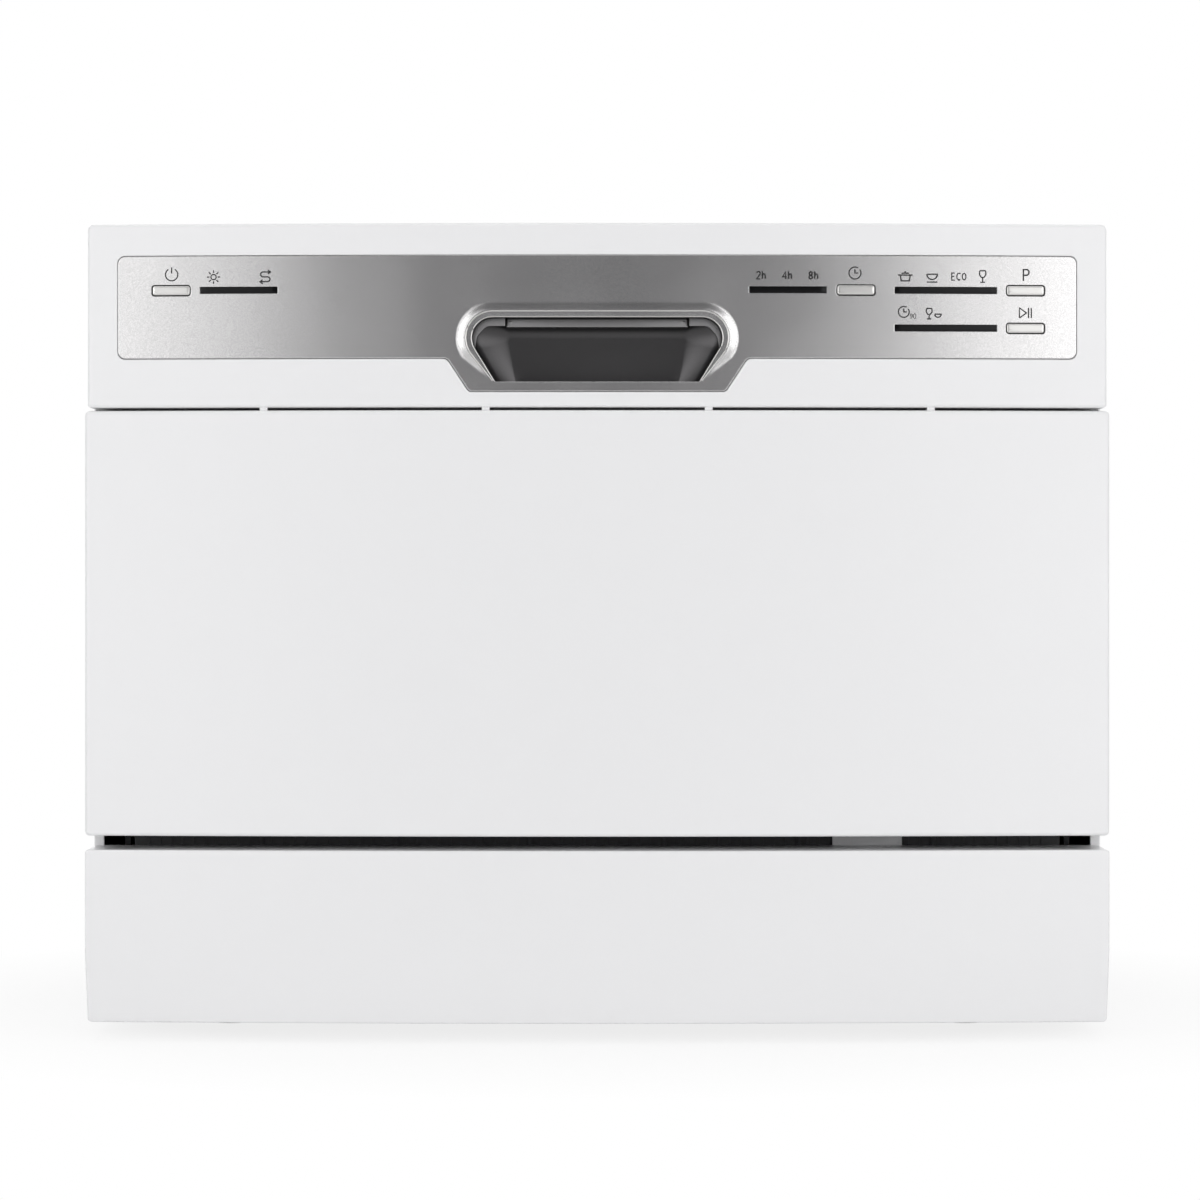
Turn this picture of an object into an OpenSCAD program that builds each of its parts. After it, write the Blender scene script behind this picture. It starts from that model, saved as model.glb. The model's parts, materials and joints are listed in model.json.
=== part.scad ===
// Countertop dishwasher: bowed door with a console, slide-out rack, washing and water works.
// X runs to the right, the front looks along -Y, Z is up, and the feet stand on Z = 0.

/* [Overall] */
// Overall width
body_w = 550; // [530:2:590]
// Overall depth
body_d = 500; // [494:2:530]
// Overall height
body_h = 438; // [434:1:460]
// Height of the feet below the skirt
foot_h = 10; // [7:0.5:14]
// How far the middle of the front stands out past its two ends
front_bow = 11; // [8:0.5:13]
// Height of the skirt's top edge
skirt_top = 102.5; // [98:0.5:103]
// Height of the open gap between the skirt and the door
toe_gap = 7.5; // [6:0.5:10]

/* [Door] */
// Thickness of the door at its middle, from the bow's crown to the inner face
door_t = 50.8; // [49:0.2:53]
// How far the door's pivot lies behind the bow's crown
hinge_depth = 28; // [27:0.5:29]
// Height of the console with the controls
console_h = 98.5; // [97:0.5:102]
// Width that the console gives away to the door panel
console_inset = 1.5; // [1:0.5:4]
// Height of the slot between the console and the door panel
console_slot = 1.5; // [1:0.1:2.5]
// Front wall of the console
console_wall = 3.2; // [2.8:0.1:4]
// Sheet of the door's outer panel
door_sheet = 1.2; // [1:0.1:1.6]
// Sheet of the door's inner panel
inner_sheet = 1.2; // [1:0.1:1.6]
// Corner radius of the console seen from the front
console_corner_r = 3.2; // [2:0.2:4]
// Number of spacer tabs in the slot over the door panel
tab_count = 4; // [2:1:6]
// Distance between two spacer tabs
tab_pitch = 119.2; // [100:1:130]
/* [Fascia] */
// Width of the fascia
fascia_w = 514; // [506:1:520]
// Height of the fascia's straight band
fascia_h = 55; // [53:0.5:57]
// Distance from the top of the console down to the fascia
fascia_drop = 17.3; // [16:0.1:18.5]
// Thickness of the fascia
fascia_t = 1.6; // [1.2:0.1:2]
// Corner radius of the fascia
fascia_corner_r = 4; // [2:0.5:6]
// How far the fascia's tongue hangs below its band
tongue_drop = 17.8; // [17:0.1:18.5]
// Half width of the tongue where it leaves the band
tongue_top = 80.5; // [79:0.5:84]
// Half width of the tongue at its lower edge
tongue_bottom = 68.5; // [66:0.5:72]

/* [Handle] */
// Half width of the handle's mouth at its widest
mouth_half = 68; // [64:0.5:70]
// Half width of the handle's mouth at its lower edge
mouth_foot = 55.2; // [50:0.5:58]
// Distance from the top of the console down to the mouth's upper edge
mouth_drop = 50.3; // [49:0.1:51]
// Height of the mouth
mouth_h = 34.7; // [34:0.1:35]
// Radius of the mouth's upper corners
mouth_corner_r = 15; // [10:1:18]
// Width of the raised ridge round the mouth
ridge_w = 8; // [5:0.5:9]
// How far the ridge stands out of the fascia
ridge_proud = 1.2; // [0.8:0.1:2]
// Depth of the handle pocket behind the fascia
pocket_depth = 24; // [23:0.5:26]
// Wall of the handle pocket
pocket_wall = 2; // [1.6:0.1:2.5]
// Half width of the latch lever in the pocket
lever_half = 48.9; // [46:0.1:50]
// Height of the lever's lower bar
lever_bar_h = 3.4; // [3:0.1:4.5]
/* [Controls] */
// Width of a button cap
button_w = 19.5; // [18:0.5:22]
// Height of a button cap
button_h = 5.1; // [4.5:0.1:6]
// Gap round a button cap
button_gap = 0.5; // [0.3:0.1:0.8]
// How far a button cap stands out of the fascia
button_proud = 0.6; // [0.4:0.1:1]
// Press of a button
button_travel = 1; // [0.6:0.1:1.5]
// Height of an indicator window
window_h = 3.7; // [3:0.1:5]
// Distance of the power button left of the middle
power_x = 227.2; // [215:1:235]
// Distance of the delay button right of the middle
delay_x = 137.6; // [130:1:145]
// Distance of the program and start buttons right of the middle
program_x = 228.6; // [224:1:235]
// Height of the upper row of buttons under the top of the console
upper_row_drop = 35.6; // [34:0.5:37]
// Height of the start button under the top of the console
lower_row_drop = 55.9; // [54:0.5:57]

/* [Tub] */
// Room between the inside of the tub and each side of the cabinet
side_room = 31; // [30:0.5:40]
// Depth inside the tub, from the front opening
tub_d = 408; // [400:1:414]
// Height of the tub's floor over the ground
tub_floor = 162; // [161:0.5:166]
// Room between the inside of the tub and the top of the cabinet
top_room = 18; // [18:0.5:24]
// Wall of the tub
tub_wall = 1.5; // [1.2:0.1:2]
// Width of the flange round the opening
flange_w = 14; // [13:0.5:16]
// Height of the ledges that the rack rolls on
ledge_h = 14; // [12:0.5:16]
// Width of the rack ledges
ledge_w = 18; // [16:0.5:20]
// Depth of the basin in the tub's floor
basin_depth = 16; // [14:0.5:20]
// Height of the door seal
gasket_t = 1.7; // [1.2:0.1:1.7]

/* [Rack] */
// Room between the rack's wires and the inside of the tub
rack_room = 24; // [23:0.5:32]
// Length of the rack
rack_l = 342; // [330:2:346]
// Height of the rack's walls over its floor
rack_wall_h = 104; // [80:2:110]
// Thickness of a rack wire
wire = 3.6; // [3:0.2:4.4]
// Number of floor wires from front to back
floor_wires = 17; // [11:2:21]
// Number of floor wires from side to side
cross_wires = 13; // [8:1:15]
// Number of rows of tines
row_count = 9; // [5:1:9]
// Number of tines in a row
tine_count = 5; // [3:1:6]
// Height of a tine
tine_h = 62; // [40:2:70]
// Radius of a rack roller
roller_r = 10; // [9:0.5:11]
// Width of a rack roller
roller_w = 8; // [6:0.5:9]
/* [Washing] */
// Radius of the spray arm
arm_r = 165; // [140:1:170]
// Height of the spray arm's blade
arm_t = 8; // [6:0.5:9]
// Radius of the filter cup
filter_r = 40; // [34:1:42]
// Radius of the softener's neck
salt_neck_r = 26; // [22:1:28]
// Radius of the motor
motor_r = 36; // [30:1:38]
// Length of the motor
motor_l = 88; // [70:1:95]
// Radius of the inlet thread, a G 3/4 connection
inlet_r = 13.22; // [10:0.1:15]
// Radius of the drain spigot
drain_r = 9.5; // [8:0.5:11]
/* [Fits] */
// Gap between a pin and its bore, on the radius
pin_gap = 0.05; // [0.02:0.01:0.1]
// Gap between pieces that move past each other
run_gap = 0.3; // [0.3:0.05:0.5]
// Radius of the door's hinge pins
hinge_pin_r = 4; // [3:0.5:5]

/* [Hidden] */
$fn = 96;
bow_fn = 256;

// Colours
white = [0.92, 0.92, 0.93];
silver = [0.72, 0.73, 0.75];
steel = [0.75, 0.76, 0.77];
grey = [0.45, 0.46, 0.48];
dark = [0.13, 0.13, 0.14];
pale = [0.80, 0.81, 0.82];
blue = [0.35, 0.45, 0.6];

// The bowed front: a large cylinder whose crown stands at crown_y
crown_y = -body_d / 2 + ridge_proud;
bow_r = (pow(body_w / 2, 2) + pow(front_bow, 2)) / (2 * front_bow);
bow_y = crown_y + bow_r;

// Door and cabinet planes
door_back = crown_y + door_t;
seal_gap = gasket_t + run_gap;
cab_front = door_back + seal_gap;
door_low = skirt_top + toe_gap;
console_low = body_h - console_h;
panel_top = console_low - console_slot;
pivot_y = crown_y + hinge_depth;
heel_r = door_back - pivot_y;
pivot_z = door_low + heel_r;
half_w = body_w / 2;
sheet = 1.2;
screw_head = 1.2;
rear_face = body_d / 2 - screw_head;
rear_inner = rear_face - sheet;
side_top = body_h - 10.2;

// Base: the skirt's bottom flange lies under the tray
flange_t = 2.5;
tray_low = foot_h + flange_t;
tray_t = 3;
tray_floor = tray_low + tray_t;
tray_wall_h = 48;
tray_half = half_w - sheet;
foot_x = half_w - 70;
foot_r = 18;
foot_stem_r = 3;
foot_front_y = crown_y + 118;
foot_back_y = rear_face - 44;

recess_high = 95;
screw_r = 1.9;
screw_rows = [recess_high + 25, (recess_high + body_h) / 2, body_h - 30];

// Tub
tub_half = half_w - side_room;
tub_back = cab_front + tub_d;
tub_top = body_h - top_room;
tub_under = tub_floor - tub_wall;
tub_corner = 18;
sill = 3.5;
gasket_w = 4.5;
hub_y = cab_front + tub_d / 2 + 12;
hub_r = 8;
hub_flange_r = 20;
arm_low = tub_floor + 13;
filter_y = hub_y - filter_r - 42;
basin_half = 110;
basin_front = filter_y - filter_r - 8;
basin_back = hub_y + 68;
basin_low = tub_floor - basin_depth;
basin_under = basin_low - tub_wall;
salt_x = half_w - 103;
salt_y = hub_y + 104;
float_x = -salt_x;
float_y = hub_y - 132;
float_r = 18;
stem_r = 4;
heater_r = 130;
heater_rod = 4;
heater_z = tub_floor + heater_rod + 3;
heater_leg_x = 22;
heater_leg_y = hub_y + sqrt(heater_r * heater_r - heater_leg_x * heater_leg_x);

// Rear recess that holds the connections
recess_left = 45 - half_w;
recess_right = recess_left + 180;
recess_low = 22;
recess_depth = 32.6;
recess_face = rear_inner - recess_depth + tray_t;
recess_back = recess_face - tray_t;
inlet_x = recess_left + 90;
neck_drop = 1.5;
inlet_z = 46;
drain_z = 72;
gland_x = recess_left + 25;
gland_z = 50;
gland_r = 8;

// Wash works under the tub
pump_z = basin_under - 40;
pump_y = filter_y;
sump_r = filter_r + 8;
sump_low = basin_under - 80;
volute_x = sump_r + 30;
volute_l = 28;
volute_r = 34;
motor_x = volute_x + volute_l;
shaft_r = 4;
hose_r = 9;
drain_pump_z = sump_low + 22;
drain_pump_r = 20;
drain_pump_l = 60;
drain_x = -sump_r - drain_pump_l / 2 - 7;

// Hinges: a bracket on the tray, a pin through it, and an arm in the door
bracket_x = half_w - 19;
bracket_t = 3;
arm_t_x = 3;
arm_x = bracket_x + bracket_t + 0.4;
ear_r = 8;
slot_y = pivot_y - ear_r - 1.5;
slot_z = pivot_z + ear_r + 1.5;

// Console, fascia and handle
fascia_top = body_h - fascia_drop;
fascia_low = fascia_top - fascia_h;
tongue_low = fascia_low - tongue_drop;
mouth_top = body_h - mouth_drop;
mouth_low = mouth_top - mouth_h;
upper_row = body_h - upper_row_drop;
lower_row = body_h - lower_row_drop;
console_half = half_w - console_inset;
pocket_back = crown_y + pocket_depth;
cup_half = mouth_half + pocket_wall;
cup_low = mouth_low - pocket_wall;
cup_top = mouth_top + 15.8;
lever_y = crown_y + 18.8;
lever_z = mouth_top + 8.8;
lever_low = mouth_top - 5.4;
lever_pin_r = 1.5;
lever_pocket = lever_half + 1.2;
board_y = crown_y + 17;
board_t = 1.6;
window_x = [-191, 101.3, 185.8, 185.8];
window_w = [41.7, 41.3, 55.4, 55.4];
window_row = [upper_row, upper_row, upper_row, lower_row];
button_x = [-power_x, delay_x, program_x, program_x];
button_row = [upper_row, upper_row, upper_row, lower_row];
tab_w = 4.2;

// Latch over the handle
latch_half = 26;
latch_top = body_h - 5;
hook_y = pivot_y;
hook_z = tub_top + 7.5;
hook_half = 5;
hook_t = 3.5;
strike_y = cab_front + 7;
strike_t = 2.5;
strike_top = tub_top + tub_wall + 3.1;

// Detergent dispenser in the door
dispenser_half = 78;
dispenser_high = cup_low - 30.2;
dispenser_low = dispenser_high - 64;
dispenser_front = door_back + 1;
dispenser_back = door_back - 27;
cup_x0 = -70;
cup_x1 = -8;
cup_z0 = dispenser_low + 10;
cup_z1 = dispenser_low + 52;
flap_t = 2.6;
flap_pin_y = dispenser_front + 2;
flap_pin_z = cup_z0 - 3.4;
flap_pin_r = 1.2;
cap_x = 42;
cap_z = dispenser_low + 32;
cap_r = 16;

// Rack
rack_half = tub_half - rack_room;
rack_front = door_back + 52;
rack_back = rack_front + rack_l;
rack_low = tub_floor + ledge_h + 16;
roller_z = tub_floor + ledge_h + roller_r + run_gap;
roller_x = rack_half + 8;
front_axle_y = rack_front + 138;
rear_axle_y = rack_back - 31;
axle_r = 3;
wall_low = rack_low + 2 * wire - 0.6;
wall_top = rack_low + rack_wall_h;
basket_x0 = rack_half - 92;
basket_x1 = rack_half - 12;
basket_y0 = rack_front + 16;
basket_y1 = basket_y0 + 96;
basket_h = 92;
shelf_x = -rack_half + 9;
shelf_y0 = rack_front + 90;
shelf_y1 = rack_back - 30;
shelf_w = 88;
shelf_z = wall_top - 14;
shelf_pin_r = 2;

// Door sheets and screws
inner_top = body_h - 4;
inner_half = half_w - console_inset - 2.4;
door_screw_x = half_w - 8;
door_screw_rows = [pivot_z + 40, pivot_z + 130, body_h - 30];

function bow_at(x) = bow_y - sqrt(bow_r * bow_r - x * x);

// Where a cross wire of the rack's floor lies
function cross_y(i) = rack_front + wire / 2 + i * (rack_l - wire) / (cross_wires - 1);

// A box between two corners
module block(x0, x1, y0, y1, z0, z1) {
    translate([x0, y0, z0]) cube([x1 - x0, y1 - y0, z1 - z0]);
}

// A rectangle between two corners, with round corners
module rounded(x0, x1, z0, z1, r) {
    translate([x0 + r, z0]) square([x1 - x0 - 2 * r, z1 - z0]);
    translate([x0, z0 + r]) square([x1 - x0, z1 - z0 - 2 * r]);
    for (x = [x0 + r, x1 - r], z = [z0 + r, z1 - r]) translate([x, z]) circle(r);
}

// A flat shape in X and Z, carried along Y
module along_y(y0, y1) {
    translate([0, y1, 0]) rotate([90, 0, 0]) linear_extrude(y1 - y0) children();
}

// A flat shape in Y and Z, carried along X
module along_x(x0, x1) {
    translate([x0, 0, 0]) rotate([90, 0, 90]) linear_extrude(x1 - x0) children();
}

module rod_x(x0, x1, y, z, r) {
    translate([x0, y, z]) rotate([0, 90, 0]) cylinder(r = r, h = x1 - x0);
}

module rod_y(x, y0, y1, z, r) {
    translate([x, y0, z]) rotate([-90, 0, 0]) cylinder(r = r, h = y1 - y0);
}

module rod_z(x, y, z0, z1, r) {
    translate([x, y, z0]) cylinder(r = r, h = z1 - z0);
}

// All that lies behind the bowed front, at a depth under its surface
module bow(depth, z0, z1) {
    translate([0, bow_y, z0]) cylinder(r = bow_r - depth, h = z1 - z0, $fn = bow_fn);
}

// A block whose front is bowed
module bow_block(half, z0, z1, depth, back) {
    intersection() {
        block(-half, half, crown_y - 5, back, z0, z1);
        bow(depth, z0 - 1, z1 + 1);
    }
}

// A flat shape seen from the front, kept between two depths under the bowed surface
module bow_layer(depth0, depth1, z0, z1) {
    difference() {
        intersection() {
            along_y(crown_y - 5, crown_y + 25) children();
            bow(depth0, z0, z1);
        }
        bow(depth1, z0 - 1, z1 + 1);
    }
}

module both_sides() {
    children();
    mirror([1, 0, 0]) children();
}

// ---- Base ----

module base_tray() color(dark) difference() {
    union() {
        block(-tray_half, tray_half, cab_front, rear_inner, tray_low, tray_floor);
        both_sides() block(tray_half - tray_t, tray_half, cab_front, rear_inner, tray_floor, tray_floor + tray_wall_h);
        both_sides() block(bracket_x - 24, bracket_x - 21, cab_front + 40, tub_back - 12, tray_floor, tub_under);
        block(-tray_half, tray_half, rear_inner - tray_t, rear_inner, tray_floor, recess_high + tray_t);
        block(recess_left - tray_t, recess_right + tray_t, recess_back, rear_inner,
              recess_low - tray_t, recess_high + tray_t);
    }
    block(recess_left, recess_right, recess_face, rear_inner + 1, recess_low, recess_high);
    rod_y(inlet_x, recess_back - 1, recess_face + 1, inlet_z, inlet_r - neck_drop);
    rod_y(drain_x, recess_back - 1, recess_face + 1, drain_z, drain_r - neck_drop);
    rod_y(gland_x, recess_back - 1, recess_face + 1, gland_z, gland_r);
    for (x = [-foot_x, foot_x], y = [foot_front_y, foot_back_y])
        rod_z(x, y, tray_low - 1, tray_floor + 1, foot_stem_r);
}

module base_skirt() color(white) {
    taper_z = foot_h + 39;
    taper = 1.4;
    skirt_t = 3;
    difference() {
        intersection() {
            bow_block(half_w, foot_h, skirt_top, 0, cab_front);
            along_y(crown_y - 5, cab_front + 1) polygon([
                [-half_w, skirt_top], [-half_w, taper_z], [-half_w + taper, foot_h],
                [half_w - taper, foot_h], [half_w, taper_z], [half_w, skirt_top]
            ]);
        }
        difference() {
            bow_block(half_w - skirt_t - taper, tray_low, skirt_top + 1, skirt_t, cab_front + 1);
            both_sides() block(half_w - 9, half_w, crown_y, cab_front + 2, skirt_top - 2.5, skirt_top);
        }
    }
    block(-half_w + 10, half_w - 10, cab_front - 1, cab_front + 10, foot_h, tray_low);
}

module kick_panel() color(dark) {
    rib_pitch = 73.5;
    kick_half = bracket_x - 3;
    block(-kick_half, kick_half, cab_front + 2, cab_front + 4.5, tray_floor, tub_under);
    for (i = [-2.5:1:2.5]) translate([i * rib_pitch, 0, 0])
        block(-1.25, 1.25, cab_front, cab_front + 3, tray_floor, tub_floor - sill - 2);
}

module harness_guard() color(pale) {
    guard_x0 = 128.5;
    guard_x1 = 166.6;
    block(guard_x0, guard_x1, cab_front - 1.5, cab_front + 2, skirt_top - 12, door_low + 12);
}

module feet() color(dark) {
    for (x = [-foot_x, foot_x], y = [foot_front_y, foot_back_y]) {
        rod_z(x, y, 0, tray_low - 6, foot_r);
        rod_z(x, y, 0, tray_low, 9);
        rod_z(x, y, tray_low - 1, tray_floor, foot_stem_r);
    }
}

// ---- Cabinet ----

module side_panel() difference() {
    union() {
        block(tray_half, half_w, cab_front, rear_inner, tray_low, side_top);
        block(half_w - 12, half_w, cab_front, cab_front + sheet, skirt_top - 2.5, side_top);
        block(half_w - 12, half_w, rear_inner - sheet, rear_inner, recess_high + 10, side_top);
    }
    for (z = screw_rows) rod_y(half_w - 7, rear_inner - 2, rear_face, z, screw_r);
}

module side_panel_left() color(white) mirror([1, 0, 0]) side_panel();

module side_panel_right() color(white) side_panel();

module rear_panel() color(pale) difference() {
    block(-half_w, half_w, rear_inner, rear_face, tray_low, body_h - sheet);
    block(recess_left, recess_right, rear_inner - 1, rear_face + 1, recess_low, recess_high);
    for (x = [-half_w + 7, half_w - 7], z = screw_rows) rod_y(x, rear_inner - 1, rear_face + 1, z, screw_r);
    for (i = [0:8]) block(-40 + i * 10, -36 + i * 10, rear_inner - 1, rear_face + 1, 140, 170);
}

module top_cover() color(white) {
    block(-half_w, half_w, cab_front, rear_face, body_h - sheet, body_h);
    both_sides() block(half_w - sheet, half_w, cab_front, rear_inner, side_top, body_h - sheet);
    block(-half_w + sheet, half_w - sheet, cab_front, cab_front + sheet, body_h - 3.4, body_h - sheet);
}

module cabinet_screws() color(steel) {
    for (x = [-half_w + 7, half_w - 7], z = screw_rows) {
        rod_y(x, rear_face, body_d / 2, z, 4.5);
        rod_y(x, rear_inner - 6, rear_face + 0.5, z, screw_r);
    }
}

// ---- Tub ----

module tub_outline(grow, corner) {
    rounded(-tub_half - grow, tub_half + grow, tub_floor - grow, tub_top + grow, corner);
}

module tub() color(steel) difference() {
    union() {
        along_y(cab_front, tub_back + tub_wall) tub_outline(tub_wall, tub_corner + tub_wall);
        along_y(cab_front, cab_front + tub_wall)
            rounded(-tub_half - tub_wall - flange_w, tub_half + tub_wall + flange_w,
                    tub_floor - sill, tub_top + flange_w, 3);
        block(-basin_half - tub_wall, basin_half + tub_wall, basin_front - tub_wall, basin_back + tub_wall,
              basin_under, tub_floor);
    }
    difference() {
        along_y(cab_front - 1, tub_back) tub_outline(0, tub_corner);
        both_sides() block(tub_half - ledge_w, tub_half + 1, cab_front - 2, tub_back + 1,
                           tub_floor - 1, tub_floor + ledge_h);
    }
    block(-basin_half, basin_half, basin_front, basin_back, basin_low, tub_floor + 1);
    rod_z(0, hub_y, basin_under - 1, basin_low + 1, hub_flange_r - 6);
    rod_z(0, filter_y, basin_under - 1, basin_low + 1, filter_r + 0.5);
    rod_z(salt_x, salt_y, tub_under - 1, tub_floor + 1, salt_neck_r + 0.3);
    rod_z(float_x, float_y, tub_under - 1, tub_floor + 1, stem_r + 2);
    for (x = [-heater_leg_x, heater_leg_x]) rod_z(x, heater_leg_y, tub_under - 1, tub_floor + 1, heater_rod);
    block(-9, 9, cab_front - 1, cab_front + tub_wall + 1, tub_top + 3, tub_top + flange_w + 1);
}

module tub_gasket() color(dark) difference() {
    along_y(cab_front - gasket_t, cab_front)
        rounded(-tub_half - gasket_w, tub_half + gasket_w, tub_floor - sill + 0.3, tub_top + gasket_w, 12);
    along_y(cab_front - gasket_t - 1, cab_front + 1)
        rounded(-tub_half, tub_half, tub_floor, tub_top, 12);
}

module latch_striker() color(steel) {
    block(-14, 14, cab_front + tub_wall, strike_y + 14, tub_top + tub_wall, tub_top + tub_wall + 1.2);
    block(-12, 12, strike_y, strike_y + strike_t, tub_top + tub_wall + 1, strike_top);
}

module hinge_brackets() color(steel) both_sides() difference() {
    union() {
        rod_x(bracket_x, bracket_x + bracket_t, pivot_y, pivot_z, ear_r);
        block(bracket_x, bracket_x + bracket_t, pivot_y, cab_front + 40, pivot_z - ear_r, pivot_z + ear_r);
        block(bracket_x, bracket_x + bracket_t, cab_front + 8, cab_front + 40, tray_floor, pivot_z + ear_r);
    }
    rod_x(bracket_x - 1, bracket_x + bracket_t + 1, pivot_y, pivot_z, hinge_pin_r);
}

module hinge_pins() color(steel) both_sides() {
    rod_x(bracket_x - 2, bracket_x, pivot_y, pivot_z, hinge_pin_r + 2);
    rod_x(bracket_x - 1, arm_x + arm_t_x + 2, pivot_y, pivot_z, hinge_pin_r);
}

// ---- Water works ----

module sump() color(dark) {
    difference() {
        union() {
            rod_z(0, filter_y, sump_low, basin_under, sump_r);
            rod_x(0, volute_x, pump_y, pump_z, 14);
            rod_x(-sump_r - 12, 0, filter_y, drain_pump_z, 12);
        }
        rod_z(0, filter_y, sump_low + 3, basin_under + 1, sump_r - 4);
        rod_x(0, volute_x + 1, pump_y, pump_z, 11);
        rod_x(-sump_r - 13, 0, filter_y, drain_pump_z, 9);
    }
}

module filter_plate() color(steel) difference() {
    plate_t = 2.5;
    union() {
        block(-basin_half, basin_half, basin_front, basin_back, tub_floor - 5, tub_floor - 5 + plate_t);
        for (x = [-90, 90], y = [basin_front + 10, basin_back - 10]) rod_z(x, y, basin_low, tub_floor - 5, 4);
    }
    rod_z(0, filter_y, tub_floor - 10, tub_floor, filter_r + 0.5);
    rod_z(0, hub_y, tub_floor - 10, tub_floor, 17);
    for (x = [-96:16:96], y = [basin_front + 24:16:basin_back - 22])
        if (norm([x, y - filter_y]) > filter_r + 8 && norm([x, y - hub_y]) > 26)
            rod_z(x, y, tub_floor - 6, tub_floor, 2.5);
}

module spray_hub() color(grey) {
    pipe_z = basin_under - 22;
    difference() {
        union() {
            rod_z(0, hub_y, pipe_z - 14, tub_floor + 8, 14);
            rod_z(0, hub_y, tub_floor, arm_low, hub_r + 3);
            rod_z(0, hub_y, tub_floor, arm_low + arm_t - 1, hub_r);
            rod_x(0, volute_x + 14, hub_y, pipe_z, 11);
            rod_y(volute_x + 14, pump_y + 8, hub_y, pipe_z, 11);
            block(volute_x + 2, volute_x + 26, hub_y - 12, hub_y + 12, pipe_z - 12, pipe_z + 12);
        }
        rod_z(0, hub_y, pipe_z, arm_low + arm_t, hub_r - 3);
        rod_x(0, volute_x + 8, hub_y, pipe_z, 8);
        rod_x(volute_x - 1, volute_x + volute_l + 1, pump_y, pump_z, volute_r);
    }
}

module pump_housing() color(grey) difference() {
    rod_x(volute_x, volute_x + volute_l, pump_y, pump_z, volute_r);
    rod_x(volute_x + 3, volute_x + volute_l + 1, pump_y, pump_z, volute_r - 4);
    rod_x(volute_x - 1, volute_x + 4, pump_y, pump_z, 11);
}

module pump_motor() color(steel) difference() {
    union() {
        rod_x(motor_x, motor_x + 4, pump_y, pump_z, volute_r);
        rod_x(motor_x + 4, motor_x + motor_l, pump_y, pump_z, motor_r);
        block(motor_x + 14, motor_x + motor_l - 14, pump_y - 22, pump_y + 22, tray_floor, pump_z);
    }
    rod_x(motor_x - 1, motor_x + 30, pump_y, pump_z, shaft_r + pin_gap);
}

module pump_impeller() color(blue) {
    rod_x(volute_x + 10, motor_x + 28, pump_y, pump_z, shaft_r);
    difference() {
        rod_x(volute_x + 12, volute_x + 15, pump_y, pump_z, volute_r - 8);
        rod_x(volute_x + 11, volute_x + 16, pump_y, pump_z, shaft_r - 1);
    }
    for (a = [0:60:300]) translate([volute_x + 5, pump_y, pump_z]) rotate([a, 0, 0])
        block(0, 9, -1, 1, shaft_r - 1 + 4, volute_r - 9);
    rod_x(volute_x + 5, volute_x + 13, pump_y, pump_z, shaft_r + 4);
}

module drain_pump() color(dark) {
    x1 = -sump_r - 12;
    difference() {
        rod_x(x1 - drain_pump_l, x1, filter_y, drain_pump_z, drain_pump_r);
        rod_x(x1 - 14, x1 + 1, filter_y, drain_pump_z, drain_pump_r - 3);
    }
    block(x1 - 46, x1 - 18, filter_y - 13, filter_y + 13, tray_floor, drain_pump_z - 14);
}

module drain_spigot() color(grey) {
    difference() {
        union() {
            rod_y(drain_x, filter_y + drain_pump_r - 6, recess_back - 4, drain_z, hose_r);
            rod_y(drain_x, recess_back - 4, recess_back, drain_z, drain_r + 5);
            rod_y(drain_x, recess_back - 1, recess_face + 1, drain_z, drain_r - neck_drop);
            rod_y(drain_x, recess_face + run_gap, rear_face - 4, drain_z, drain_r);
        }
        rod_y(drain_x, filter_y, rear_face + 1, drain_z, drain_r - 3);
        rod_x(-sump_r - 12 - drain_pump_l - 1, -sump_r - 11, filter_y, drain_pump_z, drain_pump_r);
    }
}

module inlet_valve() color(white) difference() {
    union() {
        block(inlet_x - 20, inlet_x + 20, recess_back - 34, recess_back, inlet_z - 20, inlet_z + 20);
        rod_z(inlet_x, recess_back - 17, inlet_z + 20, inlet_z + 44, 13);
        rod_y(inlet_x, recess_back - 1, recess_face + 1, inlet_z, inlet_r - neck_drop);
        rod_y(inlet_x, recess_face + run_gap, recess_back + 24, inlet_z, inlet_r);
    }
    rod_y(inlet_x, recess_back + 4, recess_back + 25, inlet_z, inlet_r - 3);
}

module inlet_hose() color(dark) {
    rod_x(inlet_x + 20, salt_x - 38, recess_back - 24, inlet_z - 8, 7);
}

module softener() color(pale) difference() {
    union() {
        block(salt_x - 38, salt_x + 38, salt_y - 56, recess_back - 10, tray_floor, basin_under - 4);
        rod_z(salt_x, salt_y, basin_under - 5, tub_under, salt_neck_r + 6);
        rod_z(salt_x, salt_y, tub_under - 1, tub_floor + 1, salt_neck_r);
    }
    rod_z(salt_x, salt_y, tray_floor + 30, tub_floor + 2, salt_neck_r - 4);
}

module salt_cap() color(grey) {
    rod_z(salt_x, salt_y, tub_floor + 1 + run_gap, tub_floor + 8, salt_neck_r + 4);
    block(salt_x - 20, salt_x + 20, salt_y - 2.5, salt_y + 2.5, tub_floor + 7, tub_floor + 12);
    rod_z(salt_x, salt_y, tub_floor - 8, tub_floor + 2, salt_neck_r - 4 - pin_gap);
}

module heater() color(steel) {
    translate([0, hub_y, heater_z]) rotate([0, 0, 100]) rotate_extrude(angle = 340)
        translate([heater_r, 0]) circle(heater_rod);
    for (x = [-heater_leg_x, heater_leg_x]) {
        rod_z(x, heater_leg_y, tub_under - 16, heater_z, heater_rod);
        rod_z(x, heater_leg_y, tub_under - 5, tub_under, heater_rod + 4);
    }
}

module float_switch() color(dark) difference() {
    block(float_x - 14, float_x + 14, float_y - 10, float_y + 10, tub_under - 34, tub_under);
    rod_z(float_x, float_y, tub_under - 31, tub_under + 1, stem_r + pin_gap);
}

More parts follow.
